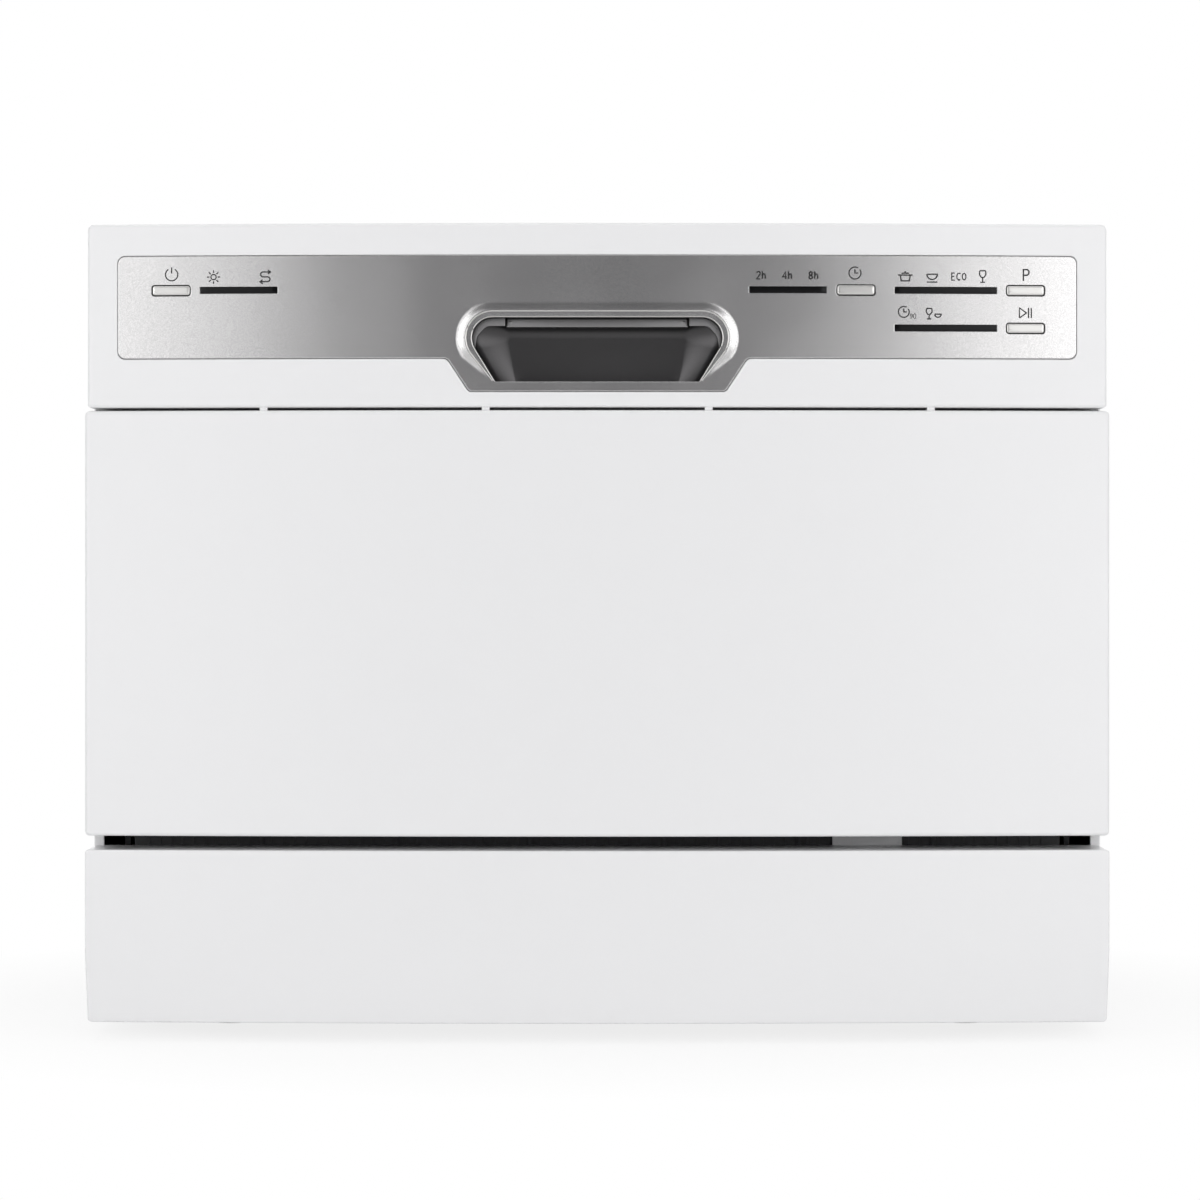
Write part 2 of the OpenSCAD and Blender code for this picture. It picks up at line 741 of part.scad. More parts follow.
module float() color(pale) difference() {
    union() {
        rod_z(float_x, float_y, tub_floor + run_gap, tub_floor + 14, float_r);
        rod_z(float_x, float_y, tub_under - 28, tub_floor + 4, stem_r);
    }
    difference() {
        rod_z(float_x, float_y, tub_floor - 1, tub_floor + 11, float_r - 2);
        rod_z(float_x, float_y, tub_floor - 2, tub_floor + 12, stem_r);
    }
}

module filter_cup() color(grey) difference() {
    union() {
        rod_z(0, filter_y, sump_low + 6, tub_floor - 1, filter_r);
        block(-filter_r + 6, filter_r - 6, filter_y - 2, filter_y + 2, tub_floor - 12, tub_floor + 9);
    }
    difference() {
        rod_z(0, filter_y, sump_low + 8, tub_floor, filter_r - 2.5);
        block(-filter_r, filter_r, filter_y - 2, filter_y + 2, tub_floor - 12, tub_floor + 9);
    }
}

module spray_arm() color(grey) difference() {
    z1 = arm_low + arm_t;
    union() {
        block(-arm_r + 14, arm_r - 14, hub_y - 14, hub_y + 14, arm_low + run_gap, z1);
        for (x = [-arm_r + 14, arm_r - 14]) rod_z(x, hub_y, arm_low + run_gap, z1, 14);
        rod_z(0, hub_y, arm_low + run_gap, z1 + 3, 22);
    }
    rod_z(0, hub_y, arm_low - 1, z1, hub_r + pin_gap);
    for (x = [-arm_r + 20:24:arm_r - 20]) if (abs(x) > 30) rod_z(x, hub_y, z1 - 3, z1 + 1, 2);
    both_sides() block(34, arm_r - 14, hub_y - 10, hub_y + 10, arm_low + run_gap + 1.5, z1 - 1.5);
}

module junction_box() color(pale) {
    block(gland_x - 20, gland_x + 20, recess_back - 40, recess_back, tray_floor, gland_z + 26);
    difference() {
        rod_y(gland_x, recess_back - 1, recess_back + 18, gland_z, gland_r);
        rod_y(gland_x, recess_back + 3, recess_back + 19, gland_z, gland_r - 4);
    }
}

// ---- Door ----

// The rounded heel at the door's lower rear edge, as points in Y and Z round the pivot
function heel(r) = [for (a = [0:15:90]) [pivot_y + r * cos(a), pivot_z - r * sin(a)]];

// The slots in the door that the fixed brackets pass through
module bracket_slots() both_sides()
    block(bracket_x - 3, arm_x - 0.1, slot_y, door_back + 1, door_low - 1, slot_z);

// The room that the inner panel takes in the shells in front of it
module inner_room() block(-inner_half, inner_half, door_back - inner_sheet, door_back + 1, door_low, inner_top);

module door_outer_panel() color(white) difference() {
    intersection() {
        bow(0, door_low - 1, panel_top + 1);
        along_x(-half_w, half_w) polygon(concat(
            [[crown_y - 5, panel_top], [crown_y - 5, door_low]],
            [for (i = [6:-1:0]) heel(heel_r)[i]], [[door_back, panel_top]]
        ));
    }
    intersection() {
        bow(door_sheet, door_low - 9, panel_top + 1);
        along_x(door_sheet - half_w, half_w - door_sheet) polygon([
            [crown_y - 5, panel_top - door_sheet], [crown_y - 5, door_low + door_sheet],
            [pivot_y - 1, door_low + door_sheet], [pivot_y - 1, door_low - 5],
            [door_back + 1, door_low - 5], [door_back + 1, panel_top - door_sheet]
        ]);
    }
    both_sides() block(bracket_x - 3, arm_x - 0.1, slot_y, pivot_y, door_low - 1, door_low + 5);
    inner_room();
}

module door_inner_panel() color(steel) {
    difference() {
        along_x(-inner_half, inner_half) polygon(concat(
            [[door_back, inner_top]], heel(heel_r),
            [for (i = [6:-1:0]) heel(heel_r - inner_sheet)[i]], [[door_back - inner_sheet, inner_top]]
        ));
        block(-dispenser_half, dispenser_half, door_back - 5, door_back + 5, dispenser_low, dispenser_high);
        block(-9, 9, door_back - 5, door_back + 5, hook_z - 5, inner_top + 1);
        bracket_slots();
        for (x = [-door_screw_x, door_screw_x], z = door_screw_rows)
            rod_y(x, door_back - 5, door_back + 5, z, screw_r);
    }
}

module door_screws() color(steel) {
    for (x = [-door_screw_x, door_screw_x], z = door_screw_rows) {
        rod_y(x, door_back, door_back + 1, z, 4);
        rod_y(x, door_back - 9, door_back + 0.5, z, screw_r);
    }
}

module console_housing() color(white) {
    side_wall = 2.2;
    difference() {
        intersection() {
            bow_block(console_half, console_low, body_h, 0, door_back);
            along_y(crown_y - 5, door_back + 1) {
                rounded(-console_half, console_half, console_low + 10, body_h, console_corner_r);
                translate([-console_half, console_low]) square([2 * console_half, 30]);
            }
        }
        bow_block(console_half - side_wall, console_low + side_wall, body_h - side_wall, console_wall, door_back + 1);
        inner_room();
        difference() {
            along_y(crown_y - 6, crown_y + 25) fascia_outline();
            bow(fascia_t, console_low, body_h);
        }
        along_y(crown_y - 5, crown_y + 25) {
            mouth();
            control_holes();
        }
    }
    for (i = [0:tab_count - 1]) {
        x = (i - (tab_count - 1) / 2) * tab_pitch;
        bow_layer(1.5, 5, panel_top, console_low + 1)
            translate([x - tab_w / 2, panel_top]) square([tab_w, console_slot + 0.5]);
    }
}

module fascia_outline() {
    rounded(-fascia_w / 2, fascia_w / 2, fascia_low, fascia_top, fascia_corner_r);
    polygon([
        [-tongue_top, fascia_low + 1], [-tongue_bottom, tongue_low],
        [tongue_bottom, tongue_low], [tongue_top, fascia_low + 1]
    ]);
}

// The mouth of the handle, grown outwards by a margin
module mouth(grow = 0) {
    r = mouth_corner_r + grow;
    corner_x = mouth_half - mouth_corner_r;
    corner_z = mouth_top - mouth_corner_r;
    right = concat(
        [[mouth_foot + grow, mouth_low]],
        [for (a = [0:10:90]) [corner_x + r * cos(a), corner_z + r * sin(a)]]
    );
    polygon(concat(right, [for (i = [len(right) - 1:-1:0]) [-right[i][0], right[i][1]]]));
}

// A round-ended slot centred on a point
module stadium(x, z, w, h) {
    translate([x - w / 2 + h / 2, z - h / 2]) square([w - h, h]);
    for (s = [-1, 1]) translate([x + s * (w - h) / 2, z]) circle(h / 2);
}

module control_holes() {
    for (i = [0:3]) stadium(button_x[i], button_row[i], button_w + 2 * button_gap, button_h + 2 * button_gap);
    for (i = [0:3]) window(i);
}

module window(i) translate([window_x[i] - window_w[i] / 2, window_row[i] - window_h / 2])
    square([window_w[i], window_h]);

module fascia_trim() color(silver) {
    difference() {
        bow_layer(0, fascia_t, console_low, body_h) fascia_outline();
        along_y(crown_y - 6, crown_y + 26) {
            mouth();
            control_holes();
        }
    }
    difference() {
        bow_layer(-ridge_proud, 0.3, console_low, body_h) mouth(ridge_w);
        along_y(crown_y - 6, crown_y + 26) mouth();
    }
}

module handle_cup() color(grey) difference() {
    block(-cup_half, cup_half, bow_at(cup_half) + console_wall, pocket_back + pocket_wall, cup_low, cup_top);
    along_y(crown_y - 5, pocket_back) mouth();
    block(-lever_pocket, lever_pocket, crown_y + 4.5, pocket_back - 0.5, lever_low - 3, cup_top - pocket_wall);
    block(-8, 8, lever_y - 6, pocket_back - 1, cup_top - 5, cup_top + 1);
    rod_x(-lever_half - 4.5, lever_half + 4.5, lever_y, lever_z, lever_pin_r + pin_gap);
}

module latch_lever() color(grey) {
    front_y = lever_y - 11;
    block(-lever_half, lever_half, front_y, lever_y - 2, lever_low, lever_low + lever_bar_h);
    block(-lever_half, lever_half, lever_y - 5, lever_y - 2, lever_low, lever_z);
    rod_x(-lever_half, lever_half, lever_y, lever_z, 3);
    block(-lever_half, lever_half, lever_y - 5, lever_y, lever_z - 2, lever_z + 1);
    rod_x(-lever_half - 4, lever_half + 4, lever_y, lever_z, lever_pin_r);
    block(-5, 5, lever_y - 1.5, lever_y + 1.5, lever_z, cup_top + 7);
}

module indicator_windows() color(dark) bow_layer(0.1, console_wall + 0.6, console_low, body_h)
    for (i = [0:3]) window(i);

module control_boards() color([0.1, 0.35, 0.2]) both_sides() {
    block(cup_half + 4, console_half - 6, board_y, board_y + board_t, lower_row - 10, upper_row + 16);
    for (z = [lower_row - 6, upper_row + 12])
        rod_y(cup_half + 12, bow_at(cup_half + 12) + console_wall + 0.4, board_y, z, 3);
}

// A button: a cap that follows the bowed front, a collar behind the wall, and a stem to the board
module button(i) {
    x = button_x[i];
    z = button_row[i];
    collar_0 = console_wall + run_gap;
    bow_layer(-button_proud, collar_0 + 0.5, console_low, body_h) stadium(x, z, button_w, button_h);
    bow_layer(collar_0, collar_0 + 1.4, console_low, body_h) stadium(x, z, button_w + 5, button_h + 4);
    rod_y(x, bow_at(x) + collar_0 + 0.7, board_y - button_travel - run_gap, z, 2.2);
}

module power_button() color(pale) button(0);

module delay_button() color(pale) button(1);

module program_button() color(pale) button(2);

module start_button() color(pale) button(3);

module latch_body() color(grey) difference() {
    block(-latch_half, latch_half, hook_y - 18, hook_y + 18, cup_top, latch_top);
    block(-hook_half - 4, hook_half + 4, hook_y - 15, hook_y + 19, cup_top - 1, latch_top - 2);
    rod_x(-hook_half - 8, hook_half + 8, hook_y, hook_z, lever_pin_r + pin_gap);
}

module latch_hook() color(steel) {
    tip_y = strike_y + strike_t + 4.5;
    rod_x(-hook_half, hook_half, hook_y, hook_z, 3.5);
    rod_x(-hook_half - 7.5, hook_half + 7.5, hook_y, hook_z, lever_pin_r);
    block(-hook_half, hook_half, hook_y, tip_y, strike_top + 1.4, strike_top + 1.4 + hook_t);
    block(-hook_half, hook_half, strike_y + strike_t + 0.6, tip_y, strike_top + 0.35, strike_top + 2);
    block(-hook_half, hook_half, hook_y - 2, hook_y + 2, cup_top + 8.6, hook_z);
}

module hinge_arms() color(steel) both_sides() difference() {
    union() {
        rod_x(arm_x, arm_x + arm_t_x, pivot_y, pivot_z, ear_r);
        block(arm_x, arm_x + arm_t_x, pivot_y - ear_r, pivot_y + ear_r, pivot_z, pivot_z + 110);
        block(arm_x, arm_x + arm_t_x, pivot_y, door_back - inner_sheet, slot_z + 4, pivot_z + 110);
    }
    rod_x(arm_x - 1, arm_x + arm_t_x + 1, pivot_y, pivot_z, hinge_pin_r + pin_gap);
}

module dispenser_body() color(grey) {
    difference() {
        union() {
            block(-dispenser_half, dispenser_half, dispenser_back, dispenser_front, dispenser_low, dispenser_high);
            for (x = [cup_x0 - 4.4, cup_x1 + 2.4])
                block(x, x + 2, dispenser_front - 1, flap_pin_y + 2.5, flap_pin_z - 2.5, flap_pin_z + 2.5);
        }
        block(cup_x0, cup_x1, dispenser_back + 8, dispenser_front + 1, cup_z0, cup_z1);
        rod_y(cap_x, dispenser_back + 4, dispenser_front + 1, cap_z, cap_r - 4 + pin_gap);
        rod_x(cup_x0 - 3.4, cup_x1 + 3.4, flap_pin_y, flap_pin_z, flap_pin_r + pin_gap);
    }
}

module detergent_flap() color(pale) {
    y0 = flap_pin_y - 1.6;
    block(cup_x0 - 2, cup_x1 + 2, y0, y0 + flap_t, flap_pin_z, cup_z1 + 2);
    rod_x(cup_x0 - 2, cup_x1 + 2, flap_pin_y, flap_pin_z, 1.6);
    rod_x(cup_x0 - 3, cup_x1 + 3, flap_pin_y, flap_pin_z, flap_pin_r);
    block(cup_x1 - 22, cup_x1 - 6, y0, y0 + flap_t + 1.2, cup_z1 - 6, cup_z1 - 1);
}

module rinse_aid_cap() color(blue) {
    rod_y(cap_x, dispenser_front + run_gap, dispenser_front + 3.2, cap_z, cap_r);
    rod_y(cap_x, dispenser_back + 12, dispenser_front + 1, cap_z, cap_r - 4);
    block(cap_x - 12, cap_x + 12, dispenser_front + 2, dispenser_front + 5, cap_z - 1.8, cap_z + 1.8);
}

// ---- Rack ----

module rack_floor() color(pale) {
    side_wire = wire / 2;
    for (i = [0:floor_wires - 1]) {
        x = -rack_half + side_wire + i * (2 * rack_half - wire) / (floor_wires - 1);
        block(x - side_wire, x + side_wire, rack_front, rack_back, rack_low, rack_low + wire);
    }
    for (i = [0:cross_wires - 1]) {
        y = cross_y(i);
        block(-rack_half, rack_half, y - side_wire, y + side_wire, rack_low + wire - 0.6, rack_low + 2 * wire - 0.6);
    }
}

// An upright wall of wires: rails along its length, and uprights between them
module wire_wall(length, count) {
    for (z = [wall_low, (wall_low + wall_top) / 2, wall_top - wire]) block(0, length, 0, wire, z, z + wire);
    for (i = [0:count - 1]) {
        x = i * (length - wire) / (count - 1);
        block(x, x + wire, 0, wire, wall_low, wall_top);
    }
}

module rack_walls() color(pale) {
    for (y = [rack_front, rack_back - wire]) translate([-rack_half, y, 0]) wire_wall(2 * rack_half, 15);
    side_l = rack_l - 2 * wire - 2;
    both_sides() translate([rack_half, rack_front + wire + 1, 0]) rotate([0, 0, 90]) wire_wall(side_l, 11);
    both_sides() for (y = [front_axle_y, rear_axle_y]) {
        block(rack_half - wire, rack_half + 2.4, y - 7, y + 7, wall_low, wall_low + 14);
        block(rack_half, rack_half + 2.4, y - 7, y + 7, roller_z - 6, wall_low + 14);
        rod_x(rack_half, roller_x + roller_w + 1, y, roller_z, axle_r);
    }
    for (y = [shelf_y0, shelf_y1]) difference() {
        block(-rack_half, shelf_x + 4, y - 3, y + 3, shelf_z - 4, wall_top);
        rod_y(shelf_x, y - 4, y + 4, shelf_z, shelf_pin_r + pin_gap);
    }
}

module plate_tines() color(pale) {
    tine_pitch = 56;
    tine = 3;
    first_x = -rack_half + 46;
    for (j = [1:min(row_count, cross_wires - 2)]) {
        y = cross_y(j);
        block(first_x - 14, first_x + (tine_count - 1) * tine_pitch + 14, y - tine / 2, y + tine / 2,
              wall_low, wall_low + tine);
        for (i = [0:tine_count - 1])
            rod_z(first_x + i * tine_pitch, y, wall_low, wall_low + tine_h, tine / 2 - 0.05);
    }
}

module cup_shelf() color(pale) {
    bar = 3;
    y0 = shelf_y0 + 3 + run_gap;
    y1 = shelf_y1 - 3 - run_gap;
    for (i = [0:4]) {
        x = shelf_x + i * (shelf_w - bar) / 4;
        block(x - bar / 2, x + bar / 2, y0, y1, shelf_z - bar / 2, shelf_z + bar / 2);
    }
    for (i = [0:8]) {
        y = y0 + i * (y1 - y0 - bar) / 8;
        block(shelf_x, shelf_x + shelf_w - bar, y, y + bar, shelf_z - bar / 2, shelf_z + bar / 2);
    }
    for (s = [[y0 - 4, y0 + 6], [y1 - 6, y1 + 4]]) rod_y(shelf_x, s[0], s[1], shelf_z, shelf_pin_r);
}

module cutlery_basket() color(grey) difference() {
    wall = 2;
    z1 = wall_low + basket_h;
    mid_y = (basket_y0 + basket_y1) / 2;
    block(basket_x0, basket_x1, basket_y0, basket_y1, wall_low, z1);
    for (y = [[basket_y0 + wall, mid_y - wall / 2], [mid_y + wall / 2, basket_y1 - wall]])
        block(basket_x0 + wall, basket_x1 - wall, y[0], y[1], wall_low + wall, z1 + 1);
    for (x = [basket_x0 + 10:10:basket_x1 - 12], z = [wall_low + 10, wall_low + 46])
        block(x, x + 4, basket_y0 - 1, basket_y1 + 1, z, z + 28);
    for (y = [basket_y0 + 10:12:basket_y1 - 12], z = [wall_low + 10, wall_low + 46])
        block(basket_x0 - 1, basket_x1 + 1, y, y + 4, z, z + 28);
}

module roller_pair(y) both_sides() difference() {
    rod_x(roller_x, roller_x + roller_w, y, roller_z, roller_r);
    rod_x(roller_x - 1, roller_x + roller_w + 1, y, roller_z, axle_r + pin_gap);
}

module front_rollers() color(grey) roller_pair(front_axle_y);

module rear_rollers() color(grey) roller_pair(rear_axle_y);

base_tray();
base_skirt();
kick_panel();
harness_guard();
feet();
side_panel_left();
side_panel_right();
rear_panel();
top_cover();
tub();
tub_gasket();
sump();
filter_plate();
spray_hub();
pump_housing();
pump_motor();
drain_pump();
drain_spigot();
inlet_valve();
inlet_hose();
softener();
heater();
float_switch();
junction_box();
latch_striker();
hinge_brackets();
hinge_pins();
cabinet_screws();
door_outer_panel();
door_inner_panel();
console_housing();
fascia_trim();
handle_cup();
indicator_windows();
control_boards();
latch_body();
hinge_arms();
dispenser_body();
door_screws();
latch_lever();
latch_hook();
power_button();
delay_button();
program_button();
start_button();
detergent_flap();
rinse_aid_cap();
spray_arm();
salt_cap();
filter_cup();
float();
pump_impeller();
rack_floor();
rack_walls();
plate_tines();
cup_shelf();
cutlery_basket();
front_rollers();
rear_rollers();
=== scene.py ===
"""Countertop dishwasher: its finishes and modelled surfaces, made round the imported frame."""

import json
import math

import bmesh
import bpy
import numpy as np
from bpy.props import FloatProperty, PointerProperty, StringProperty
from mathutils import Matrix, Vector
from mathutils.geometry import delaunay_2d_cdt


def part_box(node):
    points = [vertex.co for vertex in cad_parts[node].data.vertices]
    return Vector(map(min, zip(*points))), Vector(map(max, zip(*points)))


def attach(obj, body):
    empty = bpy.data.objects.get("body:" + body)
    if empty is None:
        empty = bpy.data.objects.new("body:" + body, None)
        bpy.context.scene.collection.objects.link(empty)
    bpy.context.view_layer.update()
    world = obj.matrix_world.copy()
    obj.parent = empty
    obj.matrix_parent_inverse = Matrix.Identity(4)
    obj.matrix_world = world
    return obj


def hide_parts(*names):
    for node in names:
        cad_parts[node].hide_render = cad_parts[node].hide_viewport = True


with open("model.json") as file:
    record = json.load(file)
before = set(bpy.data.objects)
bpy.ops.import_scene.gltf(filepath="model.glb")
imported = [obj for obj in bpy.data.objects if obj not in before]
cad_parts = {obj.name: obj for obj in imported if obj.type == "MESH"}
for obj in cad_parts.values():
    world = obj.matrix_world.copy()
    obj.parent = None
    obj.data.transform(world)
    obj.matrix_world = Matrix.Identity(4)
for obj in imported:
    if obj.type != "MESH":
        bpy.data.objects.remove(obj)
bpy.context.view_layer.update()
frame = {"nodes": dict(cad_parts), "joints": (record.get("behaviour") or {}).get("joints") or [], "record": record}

bl_info = {
    "name": "Countertop dishwasher",
    "version": (1, 0, 0),
    "blender": (4, 5, 0),
    "location": "3D View > Sidebar > Dishwasher",
    "description": "Surfaces and finishes of a countertop dishwasher",
    "category": "Object",
}

MM = 0.001


def low(node):
    """The lowest corner of a CAD node in metres."""
    return np.array(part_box(node)[0])


def high(node):
    """The highest corner of a CAD node in metres."""
    return np.array(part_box(node)[1])


def box(node):
    """Both corners of a CAD node in metres."""
    return low(node), high(node)


def round_box(node):
    """Both corners of an upright round node, its axis in X and Y, and its radius."""
    lo, hi = box(node)
    return lo, hi, (lo[0] + hi[0]) / 2, (lo[1] + hi[1]) / 2, (hi[0] - lo[0]) / 2


# Planes that the pieces share, read from the frame
HALF_W = high("base_skirt")[0]
CROWN_Y = low("base_skirt")[1]
DOOR_BACK = high("door_outer_panel")[1]
CAB_FRONT = low("tub")[1]
TOP_Z = high("top_cover")[2]
REAR_Y = high("rear_panel")[1]
PANEL_LOW, PANEL_TOP = low("door_outer_panel")[2], high("door_outer_panel")[2]
CONSOLE_HALF = high("console_housing")[0]
SKIRT_LOW, SKIRT_TOP = low("base_skirt")[2], high("base_skirt")[2]
JOINTS = {joint["name"]: np.array(joint["pos_m"]) for joint in frame["joints"] if "pos_m" in joint}
PIVOT = JOINTS["door_hinge"]
HEEL_R = DOOR_BACK - PIVOT[1]

# Thickness of the cabinet's sheets
SHEET = 0.9 * MM

# Centres of the four keys, and centres and widths of the four windows: X, Z (and width)
KEYS = np.array([(-228.2, 402.2), (138.3, 402.2), (229.4, 402.2), (229.4, 382.0)]) * MM
WINDOWS = np.array([(-191.8, 402.3, 41.7), (101.9, 402.3, 41.5), (186.5, 402.2, 55.0), (186.5, 382.0, 55.0)]) * MM


# ---------------------------------------------------------------- sizes and colours


def size(title, text, value_mm):
    """A length property given in millimetres."""
    return FloatProperty(name=title, description=text, default=value_mm * MM, unit="LENGTH")


class FrontSizes(bpy.types.PropertyGroup):
    """Sizes of the bowed front."""

    bow: size("Bow", "How far the middle of the front stands out past its ends", 11)
    console_low: size("Console edge", "Height of the console's lower edge", 339.5)
    console_corner: size("Console corner", "Radius of the console's upper corners", 3.2)


class FasciaSizes(bpy.types.PropertyGroup):
    """Sizes of the fascia, its handle and its keys."""

    half: size("Half width", "Half width of the fascia", 257)
    top: size("Top", "Height of the fascia's upper edge", 420.7)
    bottom: size("Bottom", "Height of the band's lower edge", 365.7)
    corner: size("Corner", "Radius of the fascia's corners", 4)
    skin: size("Thickness", "Thickness of the fascia", 1.6)
    tongue_low: size("Tongue", "Height of the tongue's lower edge", 347.9)
    tongue_root: size("Tongue root", "Half width of the tongue where it leaves the band", 80.2)
    tongue_half: size("Tongue foot", "Half width of the tongue's lower edge", 68.5)
    mouth_half: size("Mouth", "Half width of the handle's mouth", 66.9)
    mouth_foot: size("Mouth foot", "Half width of the mouth's lower edge", 54.5)
    mouth_top: size("Mouth top", "Height of the mouth's upper edge", 387.5)
    mouth_low: size("Mouth low", "Height of the mouth's lower edge", 353)
    mouth_corner: size("Mouth corner", "Radius of the mouth's upper corners", 11)
    ridge: size("Ridge", "Width of the ridge round the mouth", 8.8)
    ridge_height: size("Ridge height", "How far the ridge stands out", 1.15)
    rim: size("Rim", "Width of the flat rim on the ridge", 3.4)
    lip_low: size("Lip", "Height of the lower edge of the lip beside the lever", 383.1)
    lever_half: size("Lever", "Half width of the lever's bar", 48.9)
    key_w: size("Key width", "Width of a key", 19.9)
    key_h: size("Key height", "Height of a key", 4.9)
    key_gap: size("Key gap", "Gap round a key", 0.6)
    window_h: size("Window height", "Height of a window", 3.7)


class FinishColours(bpy.types.PropertyGroup):
    """Colours of the finishes, as sRGB hex values."""

    white: StringProperty(name="White", description="Enamel and moulded white", default="#EEEEEF")
    cabinet: StringProperty(name="Cabinet", description="Powder coat of the cabinet", default="#EBEBEC")
    silver: StringProperty(name="Silver", description="Metallic paint of the fascia", default="#C5C4C4")
    handle: StringProperty(name="Handle", description="Metallic paint of the pocket", default="#4A494A")
    print_grey: StringProperty(name="Print", description="Printed symbols", default="#0E0F10")
    stainless: StringProperty(name="Stainless", description="Tub and inner door", default="#C9CACB")
    rack: StringProperty(name="Rack", description="Coat of the wires", default="#C8CBD0")
    blue: StringProperty(name="Blue", description="Caps that a user turns", default="#3C6EA8")


class StageSizes(bpy.types.PropertyGroup):
    """The camera, the floor and the lamps."""

    distance: size("Distance", "From the camera to the ends of the bowed front", 2200)
    height: size("Height", "Height of the camera", 236.5)
    side: size("Side", "Camera's offset to the right", 1.5)
    lens: FloatProperty(name="Lens", description="Focal length on a 36 mm sensor", default=123.0, min=1.0)
    lamp: FloatProperty(name="Side lamps", description="Radiance of the side softboxes", default=1.8, min=0.0)
    fill: FloatProperty(name="Fill", description="Radiance of the room", default=0.2, min=0.0)


# ---------------------------------------------------------------- mesh tools


def bow(x, depth=0.0):
    """Y of the bowed front: the circle arc through the crown and both ends, or the arc lying depth behind it."""
    drop = bpy.context.scene.front_sizes.bow
    radius = (HALF_W ** 2 + drop ** 2) / (2 * drop)
    return CROWN_Y + radius - np.sqrt((radius - depth) ** 2 - np.asarray(x) ** 2)


def front(u, v, depth):
    """Points on the bowed front: depth lies under it, and a function of (u, v) gives Y itself."""
    y = depth(u, v) if callable(depth) else bow(u, depth)
    return np.stack([u, np.broadcast_to(y, u.shape), v], axis=-1)


def top(u, v, depth):
    """Points under the plane of the top: u is X and v is Y."""
    return np.stack([u, v, np.full_like(u, TOP_Z - depth)], axis=-1)


def right_side(u, v, depth):
    """Points inside the plane of the right side: u is Y and v is Z."""
    return np.stack([np.full_like(u, HALF_W - depth), u, v], axis=-1)


def rear(u, v, depth):
    """Points inside the plane of the back: u is X and v is Z."""
    return np.stack([u, np.full_like(u, REAR_Y - depth), v], axis=-1)


def level(height):
    """A placer whose depth lies under one height: u is X and v is Y."""
    return lambda u, v, depth: np.stack([u, v, np.full_like(u, height - depth)], axis=-1)


def upright(y):
    """A placer whose depth lies behind one Y: u is X and v is Z."""
    return lambda u, v, depth: np.stack([u, np.full_like(u, y + depth), v], axis=-1)


def filleted(corners, radii, count=6):
    """A closed outline with an arc of each radius in its corners, square where the radius is nought."""
    corners = np.asarray(corners, dtype=float)
    parts = []
    sets = zip(np.roll(corners, 1, axis=0), corners, np.roll(corners, -1, axis=0), np.broadcast_to(radii, len(corners)))
    for before, here, after, radius in sets:
        if radius == 0:
            parts.append(here[None])
            continue
        a, b = (before - here) / np.linalg.norm(before - here), (after - here) / np.linalg.norm(after - here)
        half = math.acos(np.clip(a @ b, -1, 1)) / 2
        middle = here + (a + b) / np.linalg.norm(a + b) * radius / math.sin(half)
        first, last = (here + side * radius / math.tan(half) - middle for side in (a, b))
        start = math.atan2(first[1], first[0])
        turn = (math.atan2(last[1], last[0]) - start + math.pi) % (2 * math.pi) - math.pi
        angle = start + turn * np.linspace(0, 1, count)
        parts.append(middle + radius * np.stack([np.cos(angle), np.sin(angle)], axis=1))
    return np.concatenate(parts)


def rectangle(x0, x1, z0, z1, radii, count=6):
    """A rectangle with rounded corners: radii are low left, low right, top right and top left."""
    return filleted([(x0, z0), (x1, z0), (x1, z1), (x0, z1)], radii, count)


def stretched(loop, step):
    """Adds evenly spaced points on each side of a closed loop that is longer than step."""
    parts = []
    for a, b in zip(loop, np.roll(loop, -1, axis=0)):
        count = max(1, int(math.ceil(np.linalg.norm(b - a) / step)))
        parts.append(a + (b - a) * np.linspace(0, 1, count, endpoint=False)[:, None])
    return np.concatenate(parts)


def inset(loop, distance):
    """Moves a closed anticlockwise loop inwards, each point along the mitre of its two sides."""
    before = loop - np.roll(loop, 1, axis=0)
    after = np.roll(loop, -1, axis=0) - loop
    before /= np.linalg.norm(before, axis=1)[:, None]
    after /= np.linalg.norm(after, axis=1)[:, None]
    normal = np.stack([-(before + after)[:, 1], (before + after)[:, 0]], axis=1)
    normal /= np.linalg.norm(normal, axis=1)[:, None]
    cosine = np.abs(normal[:, 1] * after[:, 0] - normal[:, 0] * after[:, 1])
    return loop + normal * distance / np.maximum(cosine, 0.5)[:, None]


def inside(points, loop):
    """Even-odd test of many points against one closed loop."""
    x, z = points[:, 0][:, None], points[:, 1][:, None]
    ax, az = loop[:, 0][None], loop[:, 1][None]
    bx, bz = np.roll(loop, -1, axis=0).T[:, None]
    slope = np.where(bz == az, 1.0, bz - az)
    return (((az > z) != (bz > z)) & (x < (bx - ax) * (z - az) / slope + ax)).sum(axis=1) % 2 == 1


def filled(loops, spacing):
    """A constrained Delaunay net between an outer loop and its holes, with inner points on a grid."""
    edges, start = [], 0
    for loop in loops:
        ids = np.arange(start, start + len(loop))
        edges += list(zip(ids.tolist(), np.roll(ids, -1).tolist()))
        start += len(loop)
    lo, hi = loops[0].min(axis=0), loops[0].max(axis=0)
    grid = np.stack(np.meshgrid(*(np.arange(a + spacing / 2, b, spacing) for a, b in zip(lo, hi))), -1).reshape(-1, 2)
    keep = inside(grid, inset(loops[0], 0.3 * spacing))
    for hole in loops[1:]:
        keep &= ~inside(grid, inset(hole, -0.3 * spacing))
    every = np.concatenate(list(loops) + [grid[keep]])
    verts, _, tris, _, _, _ = delaunay_2d_cdt([Vector(p) for p in every.tolist()], edges, [], 0, 1e-7)
    verts, tris = np.array([tuple(v) for v in verts]), np.array(tris)
    middle = verts[tris].mean(axis=1)
    return verts, tris[sum(inside(middle, loop).astype(int) for loop in loops) == 1]


